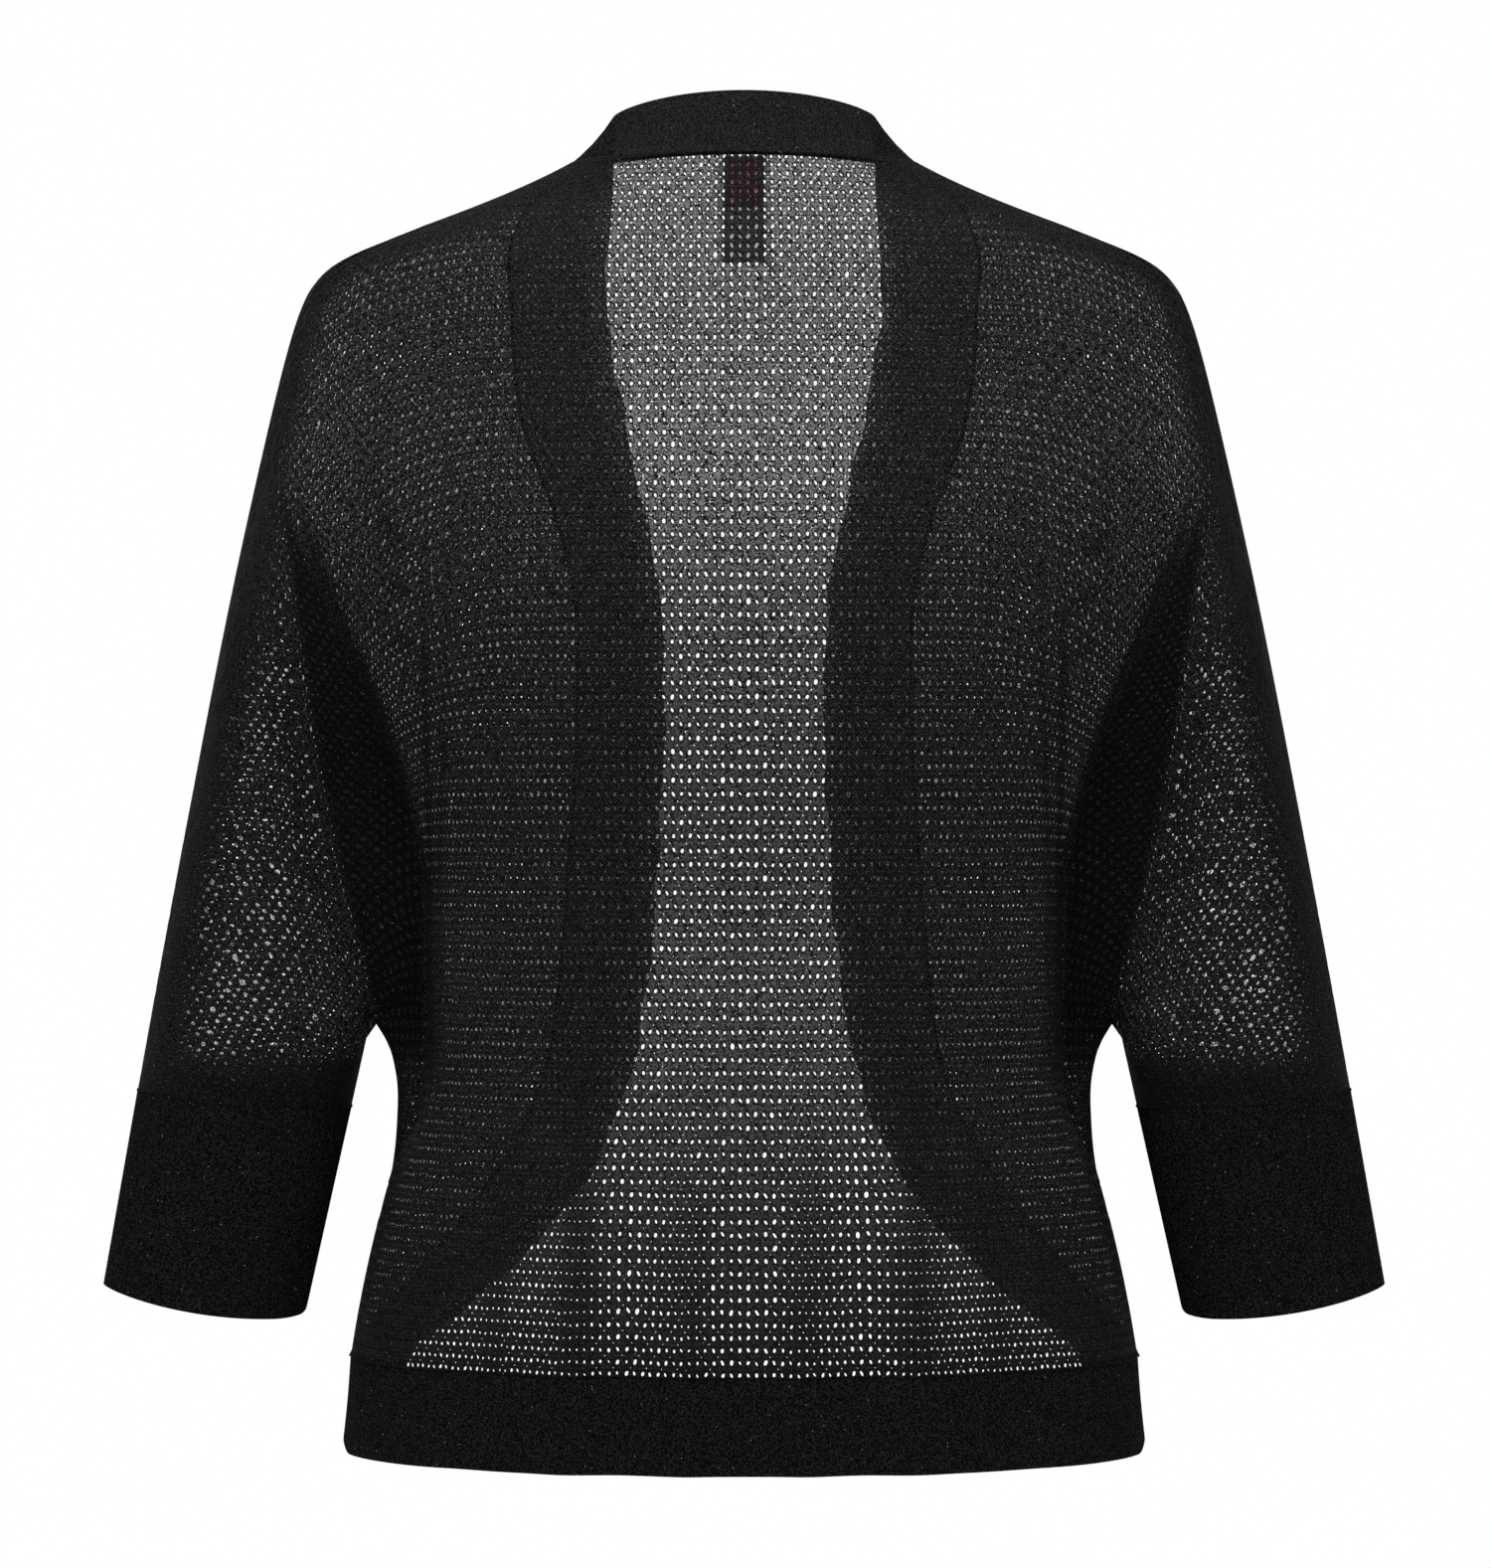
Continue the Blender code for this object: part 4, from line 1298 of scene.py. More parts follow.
    def crossing_points(self, row: Row, j: int, span: tuple, small: bool) -> dict:
        """Points where wale j crosses a row: one, or four round a small eyelet.

        Args:
            row: the row.
            j: the wale.
            span: first and last wale inside the row.
            small: whether the crossing has a small eyelet.

        Returns:
            Point indices by side: l, r, t and b.
        """
        name = row.name
        if not span[0] <= j <= span[1]:
            s = row.start_s if j < span[0] else row.end_s
            x, z = row.at(s)
            edge = j >= span[0] or (s == 0.0 and x > 0.01)
            return dict.fromkeys("lrtb", self.vertex((name, "at", round(1e5 * s)), x, z, edge))
        if (name, j, "l") in self.index:
            return {side: self.index[(name, j, side)] for side in "lrtb"}
        x, z = row.at(row.wales[j])
        dx, dz = (0.0, 0.0) if x < 0.002 else self.stray(x, z)
        x, z = x + dx, z + dz
        if not small:
            index = self.vertex((name, j, "l"), x, z, False)
            self.index.update({(name, j, side): index for side in "rtb"})
            return dict.fromkeys("lrtb", index)
        reach = 0.001
        (ax, az), (bx, bz) = row.at(row.wales[j] - reach), row.at(row.wales[j] + reach)
        length = math.hypot(bx - ax, bz - az)
        tx, tz = (bx - ax) / length, (bz - az) / length
        share = 1.0 - 0.4 * float(ease(-0.18, -0.4, z))
        if self.face is Face.FRONT:
            share *= FRONT_OPEN
        wide = SMALL_EYELET[0] * share * self.rng.uniform(0.75, 1.25) * min(1.0, length / (2 * reach))
        tall = SMALL_EYELET[1] * share * self.rng.uniform(0.75, 1.25)
        offsets = {"l": (-tx * wide, -tz * wide), "r": (tx * wide, tz * wide),
                   "t": (-tz * tall, tx * tall), "b": (tz * tall, -tx * tall)}
        return {
            side: self.vertex((name, j, side), x + offset[0], z + offset[1], False)
            for side, offset in offsets.items()
        }

    def rim_points(self, above: Row, below: Row, j: int, spans: list) -> dict:
        """Where wale j of a row meets the outline, past the end of the shorter row above it.

        Args:
            above: the shorter row.
            below: the row that has the wale.
            j: the wale.
            spans: first and last wale inside each of the two rows.

        Returns:
            The point's index for every side.
        """
        last, final = spans[0][1], spans[1][1]
        if j > final:
            return self.crossing_points(below, final + 1, spans[1], False)
        share = ((j - last - 1) / (final - last)) ** RIM_HASTE
        z = above.at(above.end_s)[1] * (1 - share) + below.at(below.end_s)[1] * share
        return dict.fromkeys("lrtb", self.vertex((above.name, "rim", j), float(overarm(z)), z, True))

    def weave(self, rows: list, part: Part) -> None:
        """Makes the cells between consecutive rows of one part.

        Args:
            rows: the part's rows, from the top down.
            part: which part it is.
        """
        spans = [row.inside() for row in rows]
        for k, (above, below) in enumerate(zip(rows, rows[1:])):
            low = min(spans[k][0], spans[k + 1][0]) - 1
            high = max(spans[k][1], spans[k + 1][1]) + 1
            lines = []
            for r, row in ((k, above), (k + 1, below)):
                line = []
                for j in range(low, high + 1):
                    small = (j + r) % 2 == 0 and self.open_all_round(rows, spans, r, j)
                    if r == k and part is Part.SHOULDER and j > spans[k][1] + 1:
                        line.append(self.rim_points(above, below, j, spans[k:k + 2]))
                    else:
                        line.append(self.crossing_points(row, j, spans[r], small))
                lines.append(line)
            outer = (low, high) if part is Part.SLEEVE else (high,)
            sides = [
                self.between((part, k, j, "w"), top["b"], bottom["t"], j in outer)
                for j, top, bottom in zip(range(low, high + 1), *lines)
            ]
            for n in range(high - low):
                self.cells.append(self.cell(*lines, sides, n, (low + n, above.name, below.name, k)))

    @staticmethod
    def open_all_round(rows: list, spans: list, r: int, j: int) -> bool:
        """Says if a crossing lies well inside the panel, in open cloth.

        Args:
            rows: the part's rows.
            spans: first and last wale inside each row.
            r: the crossing's row.
            j: its wale.

        Returns:
            True if it does.
        """
        inner = 0 < r < len(rows) - 1
        if not (inner and all(low + 1 < j < high - 1 for low, high in spans[r - 1:r + 2])):
            return False
        x, z = rows[r].at(rows[r].wales[j])
        return float(openness(np.array(x), np.array(z), Face.BACK)) > OPEN_ENOUGH

    def cell(self, top: list, bottom: list, sides: list, n: int, label: tuple) -> tuple:
        """Ring of points, corners and label of one cell.

        Args:
            top: crossings of the row above.
            bottom: crossings of the row below.
            sides: middle points of the wale stretches between them.
            n: the cell's place in the row.
            label: its wale, the names of its rows and its place down.

        Returns:
            The ring, its four corners and the label.
        """
        a, b, c, d = top[n], top[n + 1], bottom[n + 1], bottom[n]
        wale, above, below, _ = label
        over = self.between((above, wale, "m"), a["r"], b["l"], False)
        under = self.between((below, wale, "m"), c["l"], d["r"], False)
        ring = [a["b"], a["r"], over, b["l"], b["b"], sides[n + 1], c["t"], c["l"], under, d["r"], d["t"],
                sides[n]]
        kept = [v for v, before in zip(ring, ring[-1:] + ring[:-1]) if v != before]
        return kept, (a["r"], b["l"], c["l"], d["r"]), label

    def between(self, key: tuple, a: int, b: int, edge: bool) -> int:
        """Finds the point half-way between two others, on the outline if both are.

        Args:
            key: its name.
            a: index of one of them.
            b: index of the other.
            edge: whether it lies on an edge.

        Returns:
            Its index.
        """
        if a == b:
            return a
        (ax, az), (bx, bz) = self.flat[a], self.flat[b]
        if edge and (az - UNDERARM_Z) * (bz - UNDERARM_Z) < 0 and abs(ax - UNDERARM_X) < 0.02:
            return self.vertex(key, UNDERARM_X, UNDERARM_Z, True)
        x, z = (ax + bx) / 2, (az + bz) / 2
        both = self.closed[a] and self.closed[b]
        if both and np.allclose(overarm(np.array([az, bz])), [ax, bx], atol=1e-6):
            return self.vertex(key, float(overarm(z)), z, True)
        return self.vertex(key, x, z, edge)

    def points(self, hand: Hand) -> Array:
        """Lays one half of the panel on the cloth.

        Args:
            hand: which half.

        Returns:
            An array of points, one row each.
        """
        x, z = np.array(self.flat).T
        points = FORM.surface(x * hand.value, z, self.face, NET_INSET)
        points[np.array(self.closed), 1] = 0.0
        return points


@dataclass
class EyeletCloth:
    """Turns the cells of a net into pierced cloth.

    Odd and even hold every other eyelet's share of the half width, its share of
    the half height and its lean.
    """

    finish: bpy.types.Material
    half_width: float = 0.00066
    half_height: float = 0.00102
    recess: float = 0.00035
    row_pitch: float = 0.0046
    least_cell: float = 0.0021
    least_eyelet: float = 0.26
    odd: tuple = (0.86, 0.95, 0.34)
    even: tuple = (1.12, 1.05, -0.12)
    seed: int = 11
    tree: bpy.types.NodeTree = field(default_factory=eyelet_tree)

    def make(self, name: str, points: Array, cells: list, face: Face) -> Object:
        """Pierces one piece of net.

        Args:
            name: the piece's name.
            points: every point of the panel.
            cells: (ring, corners, label) of each cell of this piece.
            face: back or front.

        Returns:
            The finished object.
        """
        a, b, c, d = (points[[cell[1][k] for cell in cells]] for k in range(4))
        wide, tall = (b + c - a - d) / 2, (a + b - c - d) / 2
        width, height = (np.maximum(np.linalg.norm(way, axis=1), 1e-6)[:, None] for way in (wide, tall))
        across, upwards = wide / width, tall / height
        outward = unit(np.cross(wide, tall))
        outward *= np.sign(outward[:, 1] * face.value + 1e-9)[:, None]
        centre = np.array([points[cell[0]].mean(axis=0) for cell in cells])
        wale, down = (np.array([cell[2][k] for cell in cells]) for k in (0, 3))
        wide_share, tall_share, lean = np.where((wale + down)[:, None] % 2, self.odd, self.even).T
        jitter = np.random.default_rng(self.seed).normal(0.0, 1.0, (len(cells), 4))
        room = np.clip(width[:, 0] / WALE_PITCH, 0, 1.12) * np.clip(height[:, 0] / self.row_pitch, 0, 1)
        slack = on_sleeve(centre[:, 0], SLACK_X)
        size = openness(centre[:, 0], np.minimum(centre[:, 2], 0.0), face) * room
        size *= np.clip(1 + (0.1 + 0.2 * slack) * jitter[:, 0], 0.4, 1.7)
        half_w = self.half_width * wide_share * size
        half_h = self.half_height * tall_share * size * (1 + 0.08 * jitter[:, 1])
        lean = lean + 0.1 * jitter[:, 2]
        layers = {
            "centre": centre,
            "eye": centre + upwards * (0.00015 * jitter[:, 3:4]),
            "cell_u": across * 2 / width,
            "cell_v": upwards * 2 / height,
            "across": across * half_w[:, None],
            "down": upwards * half_h[:, None] + across * (half_h * lean)[:, None],
            "outward": outward,
            "cell": np.stack([wale + 0.5, -down - 0.5, 0.0 * wale], axis=-1),
        }
        full = np.array([len(set(cell[1])) == 4 for cell in cells])
        wide_enough = np.minimum(width, height)[:, 0] > self.least_cell
        layers["pierced"] = full & wide_enough & (size > self.least_eyelet)
        used, flat = np.unique(np.concatenate([cell[0] for cell in cells]), return_inverse=True)
        rings = [part.tolist() for part in np.split(flat, np.cumsum([len(cell[0]) for cell in cells])[:-1])]
        mesh = bpy.data.meshes.new(name)
        mesh.from_pydata(points[used].tolist(), [], rings)
        store(mesh, "FACE", **layers)
        x, z = points[used][:, 0], np.minimum(points[used][:, 2], 0.0)
        # The closed share sets the bumps and the painted shade of the heaped knit
        store(mesh, "POINT", thin=thinness(x, z, face), closed=heap_and_shade(x, z, face))
        area = sum(polygon.area for polygon in mesh.polygons)
        LOG.info("%s: %d cells, %.4f square metres", name, len(cells), area)
        return grow(mesh, self.tree, {"Recess": self.recess, "Material": self.finish}, tuple(layers))


@dataclass
class NetPanels:
    """Back and fronts: the pieces of eyelet net."""

    middle_wales: int = 22

    def build(self, finish: bpy.types.Material) -> dict:
        """Makes every piece of net.

        Args:
            finish: the net's material.

        Returns:
            The pieces by name.
        """
        cloth, pieces = EyeletCloth(finish), {}
        for face in Face:
            net = Net(face)
            count = len(net.flat)
            points = np.concatenate([net.points(Hand.RIGHT), net.points(Hand.LEFT)])
            shared = np.abs(points[:count, 0]) < 1e-7
            other = np.where(shared, np.arange(count), np.arange(count) + count)
            groups: dict = {}
            for ring, corners, label in net.cells:
                a, b, c, d = (int(other[v]) for v in corners)
                turned = [int(other[v]) for v in reversed(ring)]
                mirrored = (turned, (b, a, d, c), (-1 - label[0], *label[1:]))
                for hand, cell in ((Hand.RIGHT, (ring, corners, label)), (Hand.LEFT, mirrored)):
                    side = hand.name.lower()
                    if face is Face.FRONT:
                        cell, name = (cell[0][::-1], *cell[1:]), f"front_{side}_net"
                    else:
                        name = f"back_net_{'middle' if label[0] < self.middle_wales else side}"
                    groups.setdefault(name, []).append(cell)
            pieces.update({name: cloth.make(name, points, cells, face) for name, cells in groups.items()})
        return pieces


# --- Bands ---

# Rows across a band whose free edge is rounded at the sides
CUT_SHARES = (0.0, 0.03, 0.3, 0.6, 0.86, 0.9, 0.93, 0.955, 0.975, 0.99, 1.0)


def read_path(stations: Array, length: Array, path: Array) -> Array:
    """Points of a path, known at some lengths, at the stations."""
    return np.stack([np.interp(stations, length, column) for column in path.T], axis=-1)


@dataclass
class RibBand:
    """A wall of rib knit laid along a path; its ribs run from edge to edge."""

    name: str
    finish: bpy.types.Material
    tree: bpy.types.NodeTree
    shares: tuple = (0.0, 0.05, 0.25, 0.5, 0.75, 1.0)
    thickness: float = 0.0016
    pitch: float = 0.00098
    height: float = 0.00013
    samples: int = 4
    thin: Optional[Callable] = None
    seam: tuple = ()

    def make(self, low: Array, high: Array, shape: Callable, ring: bool = False) -> Object:
        """Builds the band's outer and inner skin with their rims, raises its ribs and keeps its seam.

        Args:
            low: points of the first edge, a few along the band.
            high: points of the second edge beside them.
            shape: lays straight-line points on the form; gets points and their shares.
            ring: whether the band closes on itself.

        Returns:
            The finished object.
        """
        length = lengths((low + high) / 2)
        ribs = max(2, round(length[-1] / self.pitch))
        stations = np.linspace(0, length[-1], ribs * self.samples + 1)[:-1 if ring else None]
        share = np.array(self.shares)
        first, second = (read_path(stations, length, edge) for edge in (low, high))
        grid = shape(first[:, None] + (second - first)[:, None] * share[None, :, None], stations, share)
        wrapped = np.concatenate([grid[-1:], grid, grid[:1]])
        down = wrapped[2:] - wrapped[:-2] if ring else np.gradient(grid, axis=0)
        normal = unit(np.cross(down, np.gradient(grid, axis=1)))
        away = grid - (grid.mean(axis=(0, 1)) if ring else 0.0)
        away[..., 2] = 0.0
        if (normal * away).sum() < 0:
            normal = -normal
        self.seam = (grid[:, 0], normal[:, 1], grid[:, 2] - grid[:, 0])
        n, around = grid.shape[0], 2 * grid.shape[1]
        inner = grid - normal * self.thickness
        points = np.concatenate([grid, inner[:, ::-1]], axis=1).reshape(-1, 3)
        faces = []
        for i in range(n if ring else n - 1):
            here, beyond = i * around, (i + 1) % n * around
            for k in range(around):
                q = (k + 1) % around
                faces.append((here + k, beyond + k, beyond + q, here + q))
        if not ring:
            faces.append(tuple(range(around)))
            faces.append(tuple(range(n * around - 1, (n - 1) * around - 1, -1)))
        mesh = bpy.data.meshes.new(self.name)
        mesh.from_pydata(points.tolist(), [], faces)
        turned = bmesh.new()
        turned.from_mesh(mesh)
        bmesh.ops.recalc_face_normals(turned, faces=turned.faces[:])
        turned.to_mesh(mesh)
        turned.free()
        out = np.concatenate([normal, normal[:, ::-1]], axis=1).reshape(-1, 3)
        store(mesh, "POINT", outward=out, along=np.repeat(stations, around))
        if self.thin:
            share = np.tile(np.concatenate([self.shares, self.shares[::-1]]), n)
            store(mesh, "POINT", thin=self.thin(points, share))
        values = {"Pitch": float(length[-1] / ribs), "Height": self.height, "Material": self.finish}
        return grow(mesh, self.tree, values, ("outward", "along"))


def round_corner(beside: Array, above: Array, radii: tuple) -> tuple:
    """Rounds the corner between a side and a lower edge.

    Args:
        beside: distance of each point from the side.
        above: distance of each point from the lower edge.
        radii: how far the round reaches from the side and from the edge.

    Returns:
        How far each point moves away from the side and up.
    """
    u = np.clip(1 - beside / radii[0], 0.0, 1.0)
    v = np.clip(1 - above / radii[1], 0.0, 1.0)
    return radii[0] * u * (1 - np.sqrt(1 - v * v / 2)), radii[1] * v * (1 - np.sqrt(1 - u * u / 2))


@dataclass
class Bands:
    """Front band, hem band and cuffs."""

    finish: bpy.types.Material
    loose_finish: bpy.types.Material
    lap: float = 0.0014
    collar_hollow: float = 0.0022
    collar_reach: float = 0.07
    ripple: float = 0.0011
    hem_corner: tuple = (0.0052, 0.0052)
    cuff_corner: tuple = (0.012, 0.003)
    cuff_height: float = 0.085
    cuff_inwards: float = 0.3
    cuff_sag: float = 0.0036
    tree: bpy.types.NodeTree = field(default_factory=rib_tree)
    seams: dict = field(default_factory=dict)

    def front_band(self) -> Object:
        """Makes the front band: up the +X front, round the back neck and down the -X front.

        Returns:
            The finished object.
        """
        z = np.concatenate([np.linspace(HEM_TOP, -0.03, 90), np.linspace(-0.0285, 0.0, 14)])
        seam = FORM.surface(band_seam_x(z), z, Face.FRONT)
        free = FORM.surface(BANDS("free_x", z), BANDS("free_z", z), Face.FRONT)
        free[:, 1] *= BANDS("turn", z)
        seam[0] = (float(SIDES("half", HEM_TOP)), -2 * HALF_GAP, HEM_TOP)
        angle = np.linspace(0, math.pi, 41)
        cos, sin = np.cos(angle), np.sin(angle)
        foot = np.stack([float(overarm(0.0)) * cos, NECK_BACK * sin, np.full(41, HALF_GAP)], axis=-1)
        height = COLLAR_SIDE_HEIGHT + (COLLAR_BACK_HEIGHT - COLLAR_SIDE_HEIGHT) * np.abs(sin) ** COLLAR_ARCH
        top = np.stack([COLLAR_TOP_HALF * cos, COLLAR_TOP_BACK * sin, height], axis=-1)
        flip = np.array([-1.0, 1.0, 1.0])
        low = np.concatenate([seam, foot[1:-1], seam[::-1] * flip])
        high = np.concatenate([free, top[1:-1], free[::-1] * flip])
        side_lap = ease(0.03, 0.0, -z) * 0.003
        foot_lap = 0.0006 + 0.0056 * np.minimum(cos[1:-1] ** 2, 0.68) - self.lap
        laps = self.lap + np.concatenate([side_lap, foot_lap, side_lap[::-1]])[:, None]
        low += laps * unit(low - high)

        def shape(grid: Array, along: Array, share: Array) -> Array:
            """Lays the band on the chest, hollows the collar and ripples the free edge.

            Args:
                grid: the points, by station and by share; it is changed in place.
                along: distance of each station along the band.
                share: each share of the way across the band.

            Returns:
                The same points.
            """
            on_chest = FORM.surface(grid[..., 0], grid[..., 2], Face.FRONT)[..., 1]
            chest = ease(-0.028, -0.042, grid[..., 2]) * (grid[..., 1] < 0)
            grid[..., 1] = grid[..., 1] * (1 - chest) + on_chest * chest
            wave = np.sin(along * 130) * 0.6 + np.sin(along * 217 + 1.3) * 0.4
            ripple = wave[:, None] * share[None, :] ** 3 * self.ripple * chest
            grid[..., 1] -= np.abs(ripple) * 0.5
            grid[..., 0] += ripple * np.sign(grid[..., 0])
            hollow = 4 * share * (1 - share) * self.collar_hollow
            standing = (1 - chest) * ease(-0.012, 0.0, grid[..., 2])
            grid[..., :2] *= 1 - (hollow[None, :] * standing / self.collar_reach)[..., None]
            return grid

        def thin(points: Array, share: Array) -> Array:
            """Opens the rib a little on the chest, and most along its free edge.

            Args:
                points: points of the band.
                share: their shares of the way across it.

            Returns:
                Shares of the light that passes between the fibres.
            """
            chest = ease(0.004, -0.02, points[:, 2])
            body = (0.07 + 0.14 * chest) * ease(-0.535, -0.44, points[:, 2])
            return body + 0.16 * chest * share**8

        band = RibBand("front_band_rib", self.loose_finish, self.tree, thin=thin)
        return self.sew(band, band.make(low, high, shape))

    def hem_band(self) -> Object:
        """Makes the hem band: from one front end round the back to the other.

        Returns:
            The finished object.
        """
        edges = []
        for z, front_x in ((HEM_TOP + self.lap, HEM_FRONT_TOP_X), (HEM_BOTTOM, HEM_FRONT_BOTTOM_X)):
            half = float(SIDES("half", z))
            wrap = math.acos(front_x / half)
            angle = np.linspace(-wrap, math.pi + wrap, 200)
            back, front = (FORM.surface(half * np.cos(angle), z, face) for face in Face)
            edges.append(np.where((np.sin(angle) >= 0)[:, None], back, front))

        def shape(grid: Array, along: Array, share: Array) -> Array:
            """Rounds the lower corners at the sides.

            Args:
                grid: the points, by station and by share; it is changed in place.
                along: not used.
                share: not used.

            Returns:
                The same points.
            """
            beside = np.abs(grid[..., 0]).max(axis=0) - np.abs(grid[..., 0])
            inwards, up = round_corner(beside, grid[..., 2] - HEM_BOTTOM, self.hem_corner)
            grid[..., 0] -= np.sign(grid[..., 0]) * inwards
            grid[..., 2] += up
            return grid

        band = RibBand("hem_band_rib", self.finish, self.tree, CUT_SHARES)
        return self.sew(band, band.make(*edges, shape))

    def cuff(self, hand: Hand) -> Object:
        """Makes one cuff: a whole tube from the cuff seam to its open end.

        Args:
            hand: whose cuff.

        Returns:
            The finished object.
        """
        angle = np.linspace(0, math.tau, 161) * -hand.value
        low, high = CUFF_SEAM.points(angle), WRIST.points(angle)
        low += self.lap * unit(low - high)
        flip = np.array([hand.value, 1.0, 1.0])

        def shape(grid: Array, along: Array, share: Array) -> Array:
            """Lets the open end sag in the middle and rounds its inner corner.

            Args:
                grid: the points, by station and by share; it is changed in place.
                along: not used.
                share: each share of the way across the band.

            Returns:
                The same points.
            """
            across = np.abs(grid[..., 0])
            beside = across - across.min(axis=0)
            place = beside / np.ptp(across, axis=0)
            inwards, up = round_corner(beside, self.cuff_height * (1 - share)[None, :], self.cuff_corner)
            grid[..., 0] += hand.value * inwards * self.cuff_inwards
            grid[..., 2] += up - self.cuff_sag * 4 * place * (1 - place) * share[None, :] ** 3
            return grid

        band = RibBand(f"cuff_{hand.name.lower()}_rib", self.finish, self.tree, CUT_SHARES)
        return self.sew(band, band.make(low * flip, high * flip, shape, ring=True))

    def sew(self, band: RibBand, piece: Object) -> Object:
        """Remembers a finished band's seam."""
        self.seams[piece.name] = band.seam
        return piece


@dataclass
class Linking:
    """The loops of yarn that link a band to the net along their seam."""

    finish: bpy.types.Material
    pitch: float = 0.0013
    length: float = 0.0009
    width: float = 0.00048
    slant: float = 0.7
    proud: float = 0.0001
    tree: bpy.types.NodeTree = field(default_factory=stitch_tree)

    def make(self, name: str, seam: tuple) -> Object:
        """Lays the loops along one seam.

        Args:
            name: the piece's name.
            seam: the seam's path, its outward directions and the way into the band.

        Returns:
            The finished object.
        """
        length = lengths(seam[0])
        stations = np.arange(self.pitch / 2, length[-1], self.pitch)
        path, outward, into, along = (
            read_path(stations, length, values) for values in (*seam, np.gradient(seam[0], axis=0))
        )
        mesh = bpy.data.meshes.new(name)
        mesh.from_pydata((path + self.proud * outward).tolist(), [], [])
        store(mesh, "POINT", slant=unit(along) + self.slant * unit(into))
        return grow(mesh, self.tree, {"Length": self.length, "Width": self.width, "Material": self.finish})


# --- Label ---


@dataclass
class Label:
    """The bare woven label inside the back neck."""

    finish: bpy.types.Material
    inset: float = 0.0024
    thickness: float = 0.0006
    columns: int = 12
    rows: int = 30

    def build(self) -> Object:
        """Makes the label, which follows the back just inside it.

        Returns:
            The finished object.
        """
        step = self.columns + 1
        x, z = np.meshgrid(np.linspace(-LABEL_HALF_WIDTH, LABEL_HALF_WIDTH, step),
                           np.linspace(LABEL_TOP, LABEL_BOTTOM, self.rows + 1))
        points = FORM.surface(x, z, Face.BACK).reshape(-1, 3)
        points[:, 1] -= self.inset
        starts = [r * step + c for r in range(self.rows) for c in range(self.columns)]
        mesh = bpy.data.meshes.new("label_tape")
        mesh.from_pydata(points.tolist(), [], [(k, k + 1, k + step + 1, k + step) for k in starts])
        mesh.materials.append(self.finish)
        mesh.shade_smooth()
        piece = in_scene("label_tape", mesh)
        solid = piece.modifiers.new("Wall", "SOLIDIFY")
        solid.thickness = self.thickness
        solid.offset = -1.0
        return piece


# --- Studio ---


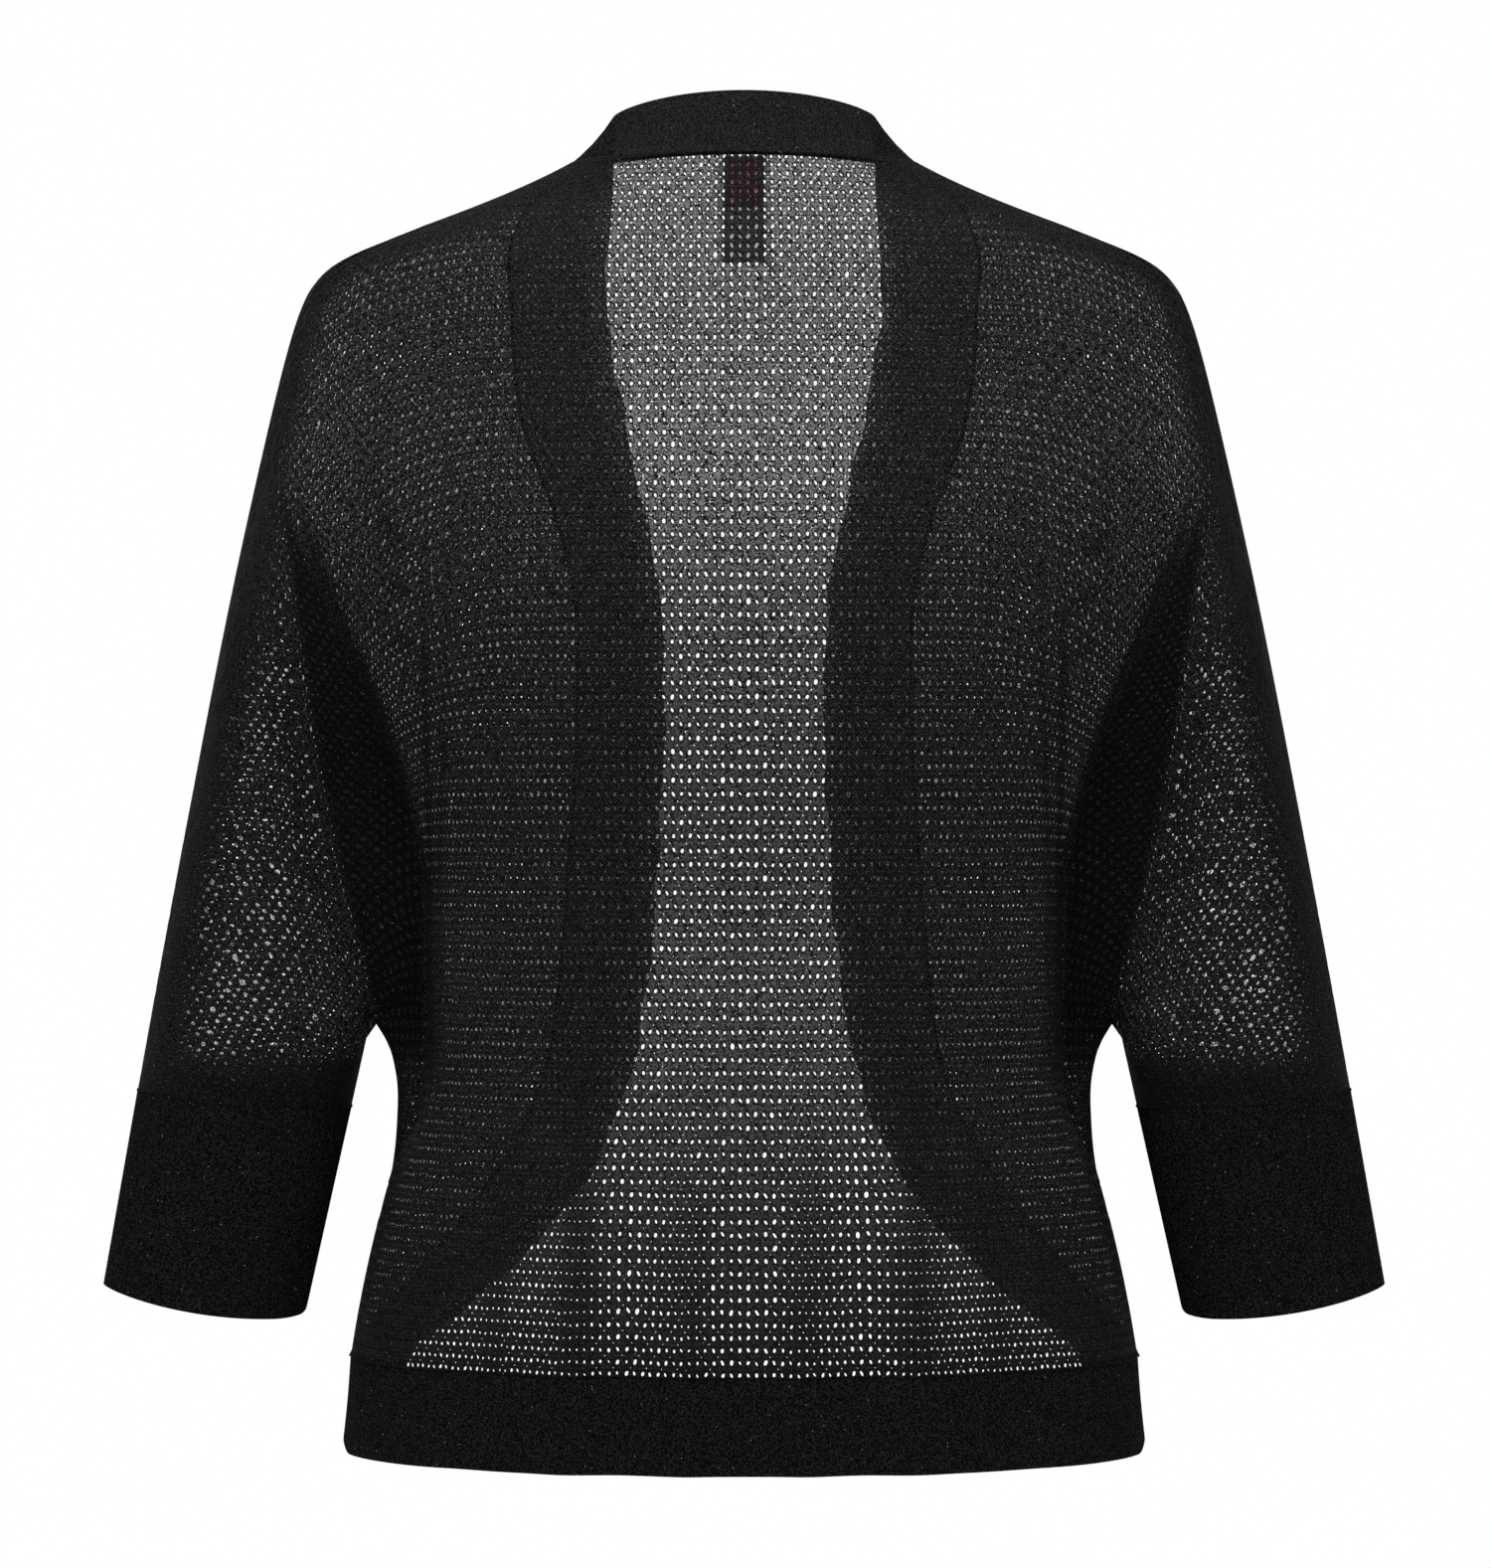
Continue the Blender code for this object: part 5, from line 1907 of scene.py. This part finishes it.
@dataclass
class Studio:
    """Camera, lights, pale floor and white surround."""

    distance: float = 2.55
    eye_x: float = -0.0006
    eye_z: float = -0.2741
    frame_height: float = 0.69388
    sensor: float = 36.0
    floor_z: float = -0.76
    floor_radius: float = 0.8
    floor_steps: int = 64
    lights: tuple = (
        ("Key", (-1.4, 2.2, 1.3), 1.6, 9.0),
        ("Fill", (1.8, -1.8, 0.9), 1.8, 8.0),
        ("Top", (0.2, 0.9, 1.35), 1.2, 52.0),
    )

    def build(self) -> None:
        """Sets up everything round the garment."""
        scene = bpy.context.scene
        scene.view_settings.view_transform = "Standard"
        camera = bpy.data.cameras.new("Camera")
        camera.sensor_width = self.sensor
        camera.lens = self.sensor * self.distance / self.frame_height
        scene.camera = in_scene("Camera", camera)
        scene.camera.location = (self.eye_x, self.distance, self.eye_z)
        scene.camera.rotation_euler = (math.radians(90), 0.0, math.radians(180))
        scene.world = bpy.data.worlds.new("Surround")
        scene.world.use_nodes = True
        surround = scene.world.node_tree.nodes["Background"]
        surround.inputs["Color"].default_value = (1.0, 1.0, 1.0, 1.0)
        surround.inputs["Strength"].default_value = 1.0
        for name, place, size, power in self.lights:
            data = bpy.data.lights.new(name, "AREA")
            data.size, data.energy = size, power
            light = in_scene(name, data)
            light.location = place
            aim = Vector((0.0, 0.0, self.eye_z)) - Vector(place)
            light.rotation_euler = aim.to_track_quat("-Z", "Y").to_euler()
        self.floor()

    def floor(self) -> None:
        """Lays the pale round floor under the garment."""
        turns = [math.tau * k / self.floor_steps for k in range(self.floor_steps)]
        radius = self.floor_radius
        ring = [(radius * math.cos(t), radius * math.sin(t), self.floor_z) for t in turns]
        mesh = bpy.data.meshes.new("floor")
        mesh.from_pydata(ring, [], [tuple(range(self.floor_steps))])
        material, nodes, shader = new_material("floor")
        nodes.fill(shader, {"Base Color": (0.86, 0.86, 0.86, 1.0), "Roughness": 0.9})
        mesh.materials.append(material)
        in_scene("floor", mesh)


# --- Putting it together ---


class Cut(NamedTuple):
    """What a sheet stands for, its finish and the flat size that it is cut to."""

    piece: str
    node: str
    slot: str
    flat: tuple
    held: str
    area: Optional[float] = None


SIDE_NAMES = [hand.name.lower() for hand in Hand]
CUTS = (
    Cut("back_net_middle", "back", "eyelet_mesh", (0.158, 0.54), "stretched"),
    *(Cut(f"back_net_{s}", "back", "eyelet_mesh", (0.27, 0.53), "draped", 0.104) for s in SIDE_NAMES),
    *(Cut(f"front_{s}_net", f"front_{s}", "eyelet_mesh", (0.27, 0.54), "draped", 0.093) for s in SIDE_NAMES),
    Cut("front_band_rib", "front_band", "rib", (0.036, 1.42), "stretched"),
    Cut("hem_band_rib", "hem_band", "rib", (0.04, 0.64), "stretched"),
    *(Cut(f"cuff_{s}_rib", f"cuff_{s}", "rib", (0.255, 0.09), "draped") for s in SIDE_NAMES),
    Cut("label_tape", "label", "label_tape", (0.017, 0.052), "hung"),
)


def declare(piece: Object, node: str, slot: str) -> None:
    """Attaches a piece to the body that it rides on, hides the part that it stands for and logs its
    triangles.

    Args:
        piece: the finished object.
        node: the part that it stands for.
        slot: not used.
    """
    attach(piece, BODY)
    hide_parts(node)
    piece.data.calc_loop_triangles()
    LOG.info("%s: %d triangles", piece.name, len(piece.data.loop_triangles))


def main() -> None:
    logging.basicConfig(level=logging.INFO, format="%(message)s")
    Studio().build()
    net_finish, rib_finish = NET_YARN.material(), RIB_YARN.material()
    pieces = NetPanels().build(net_finish)
    bands = Bands(rib_finish, BAND_YARN.material())
    for piece in (bands.front_band(), bands.hem_band(), *map(bands.cuff, Hand),
                  Label(Tape().material()).build()):
        pieces[piece.name] = piece
    for cut in CUTS:
        declare(pieces[cut.piece], cut.node, cut.slot)
    linking = Linking(rib_finish)
    for band in ("front_band", "hem_band", "cuff_left", "cuff_right"):
        declare(linking.make(f"{band}_linking", bands.seams[f"{band}_rib"]), band, "rib")


if __name__ == "__main__":
    main()
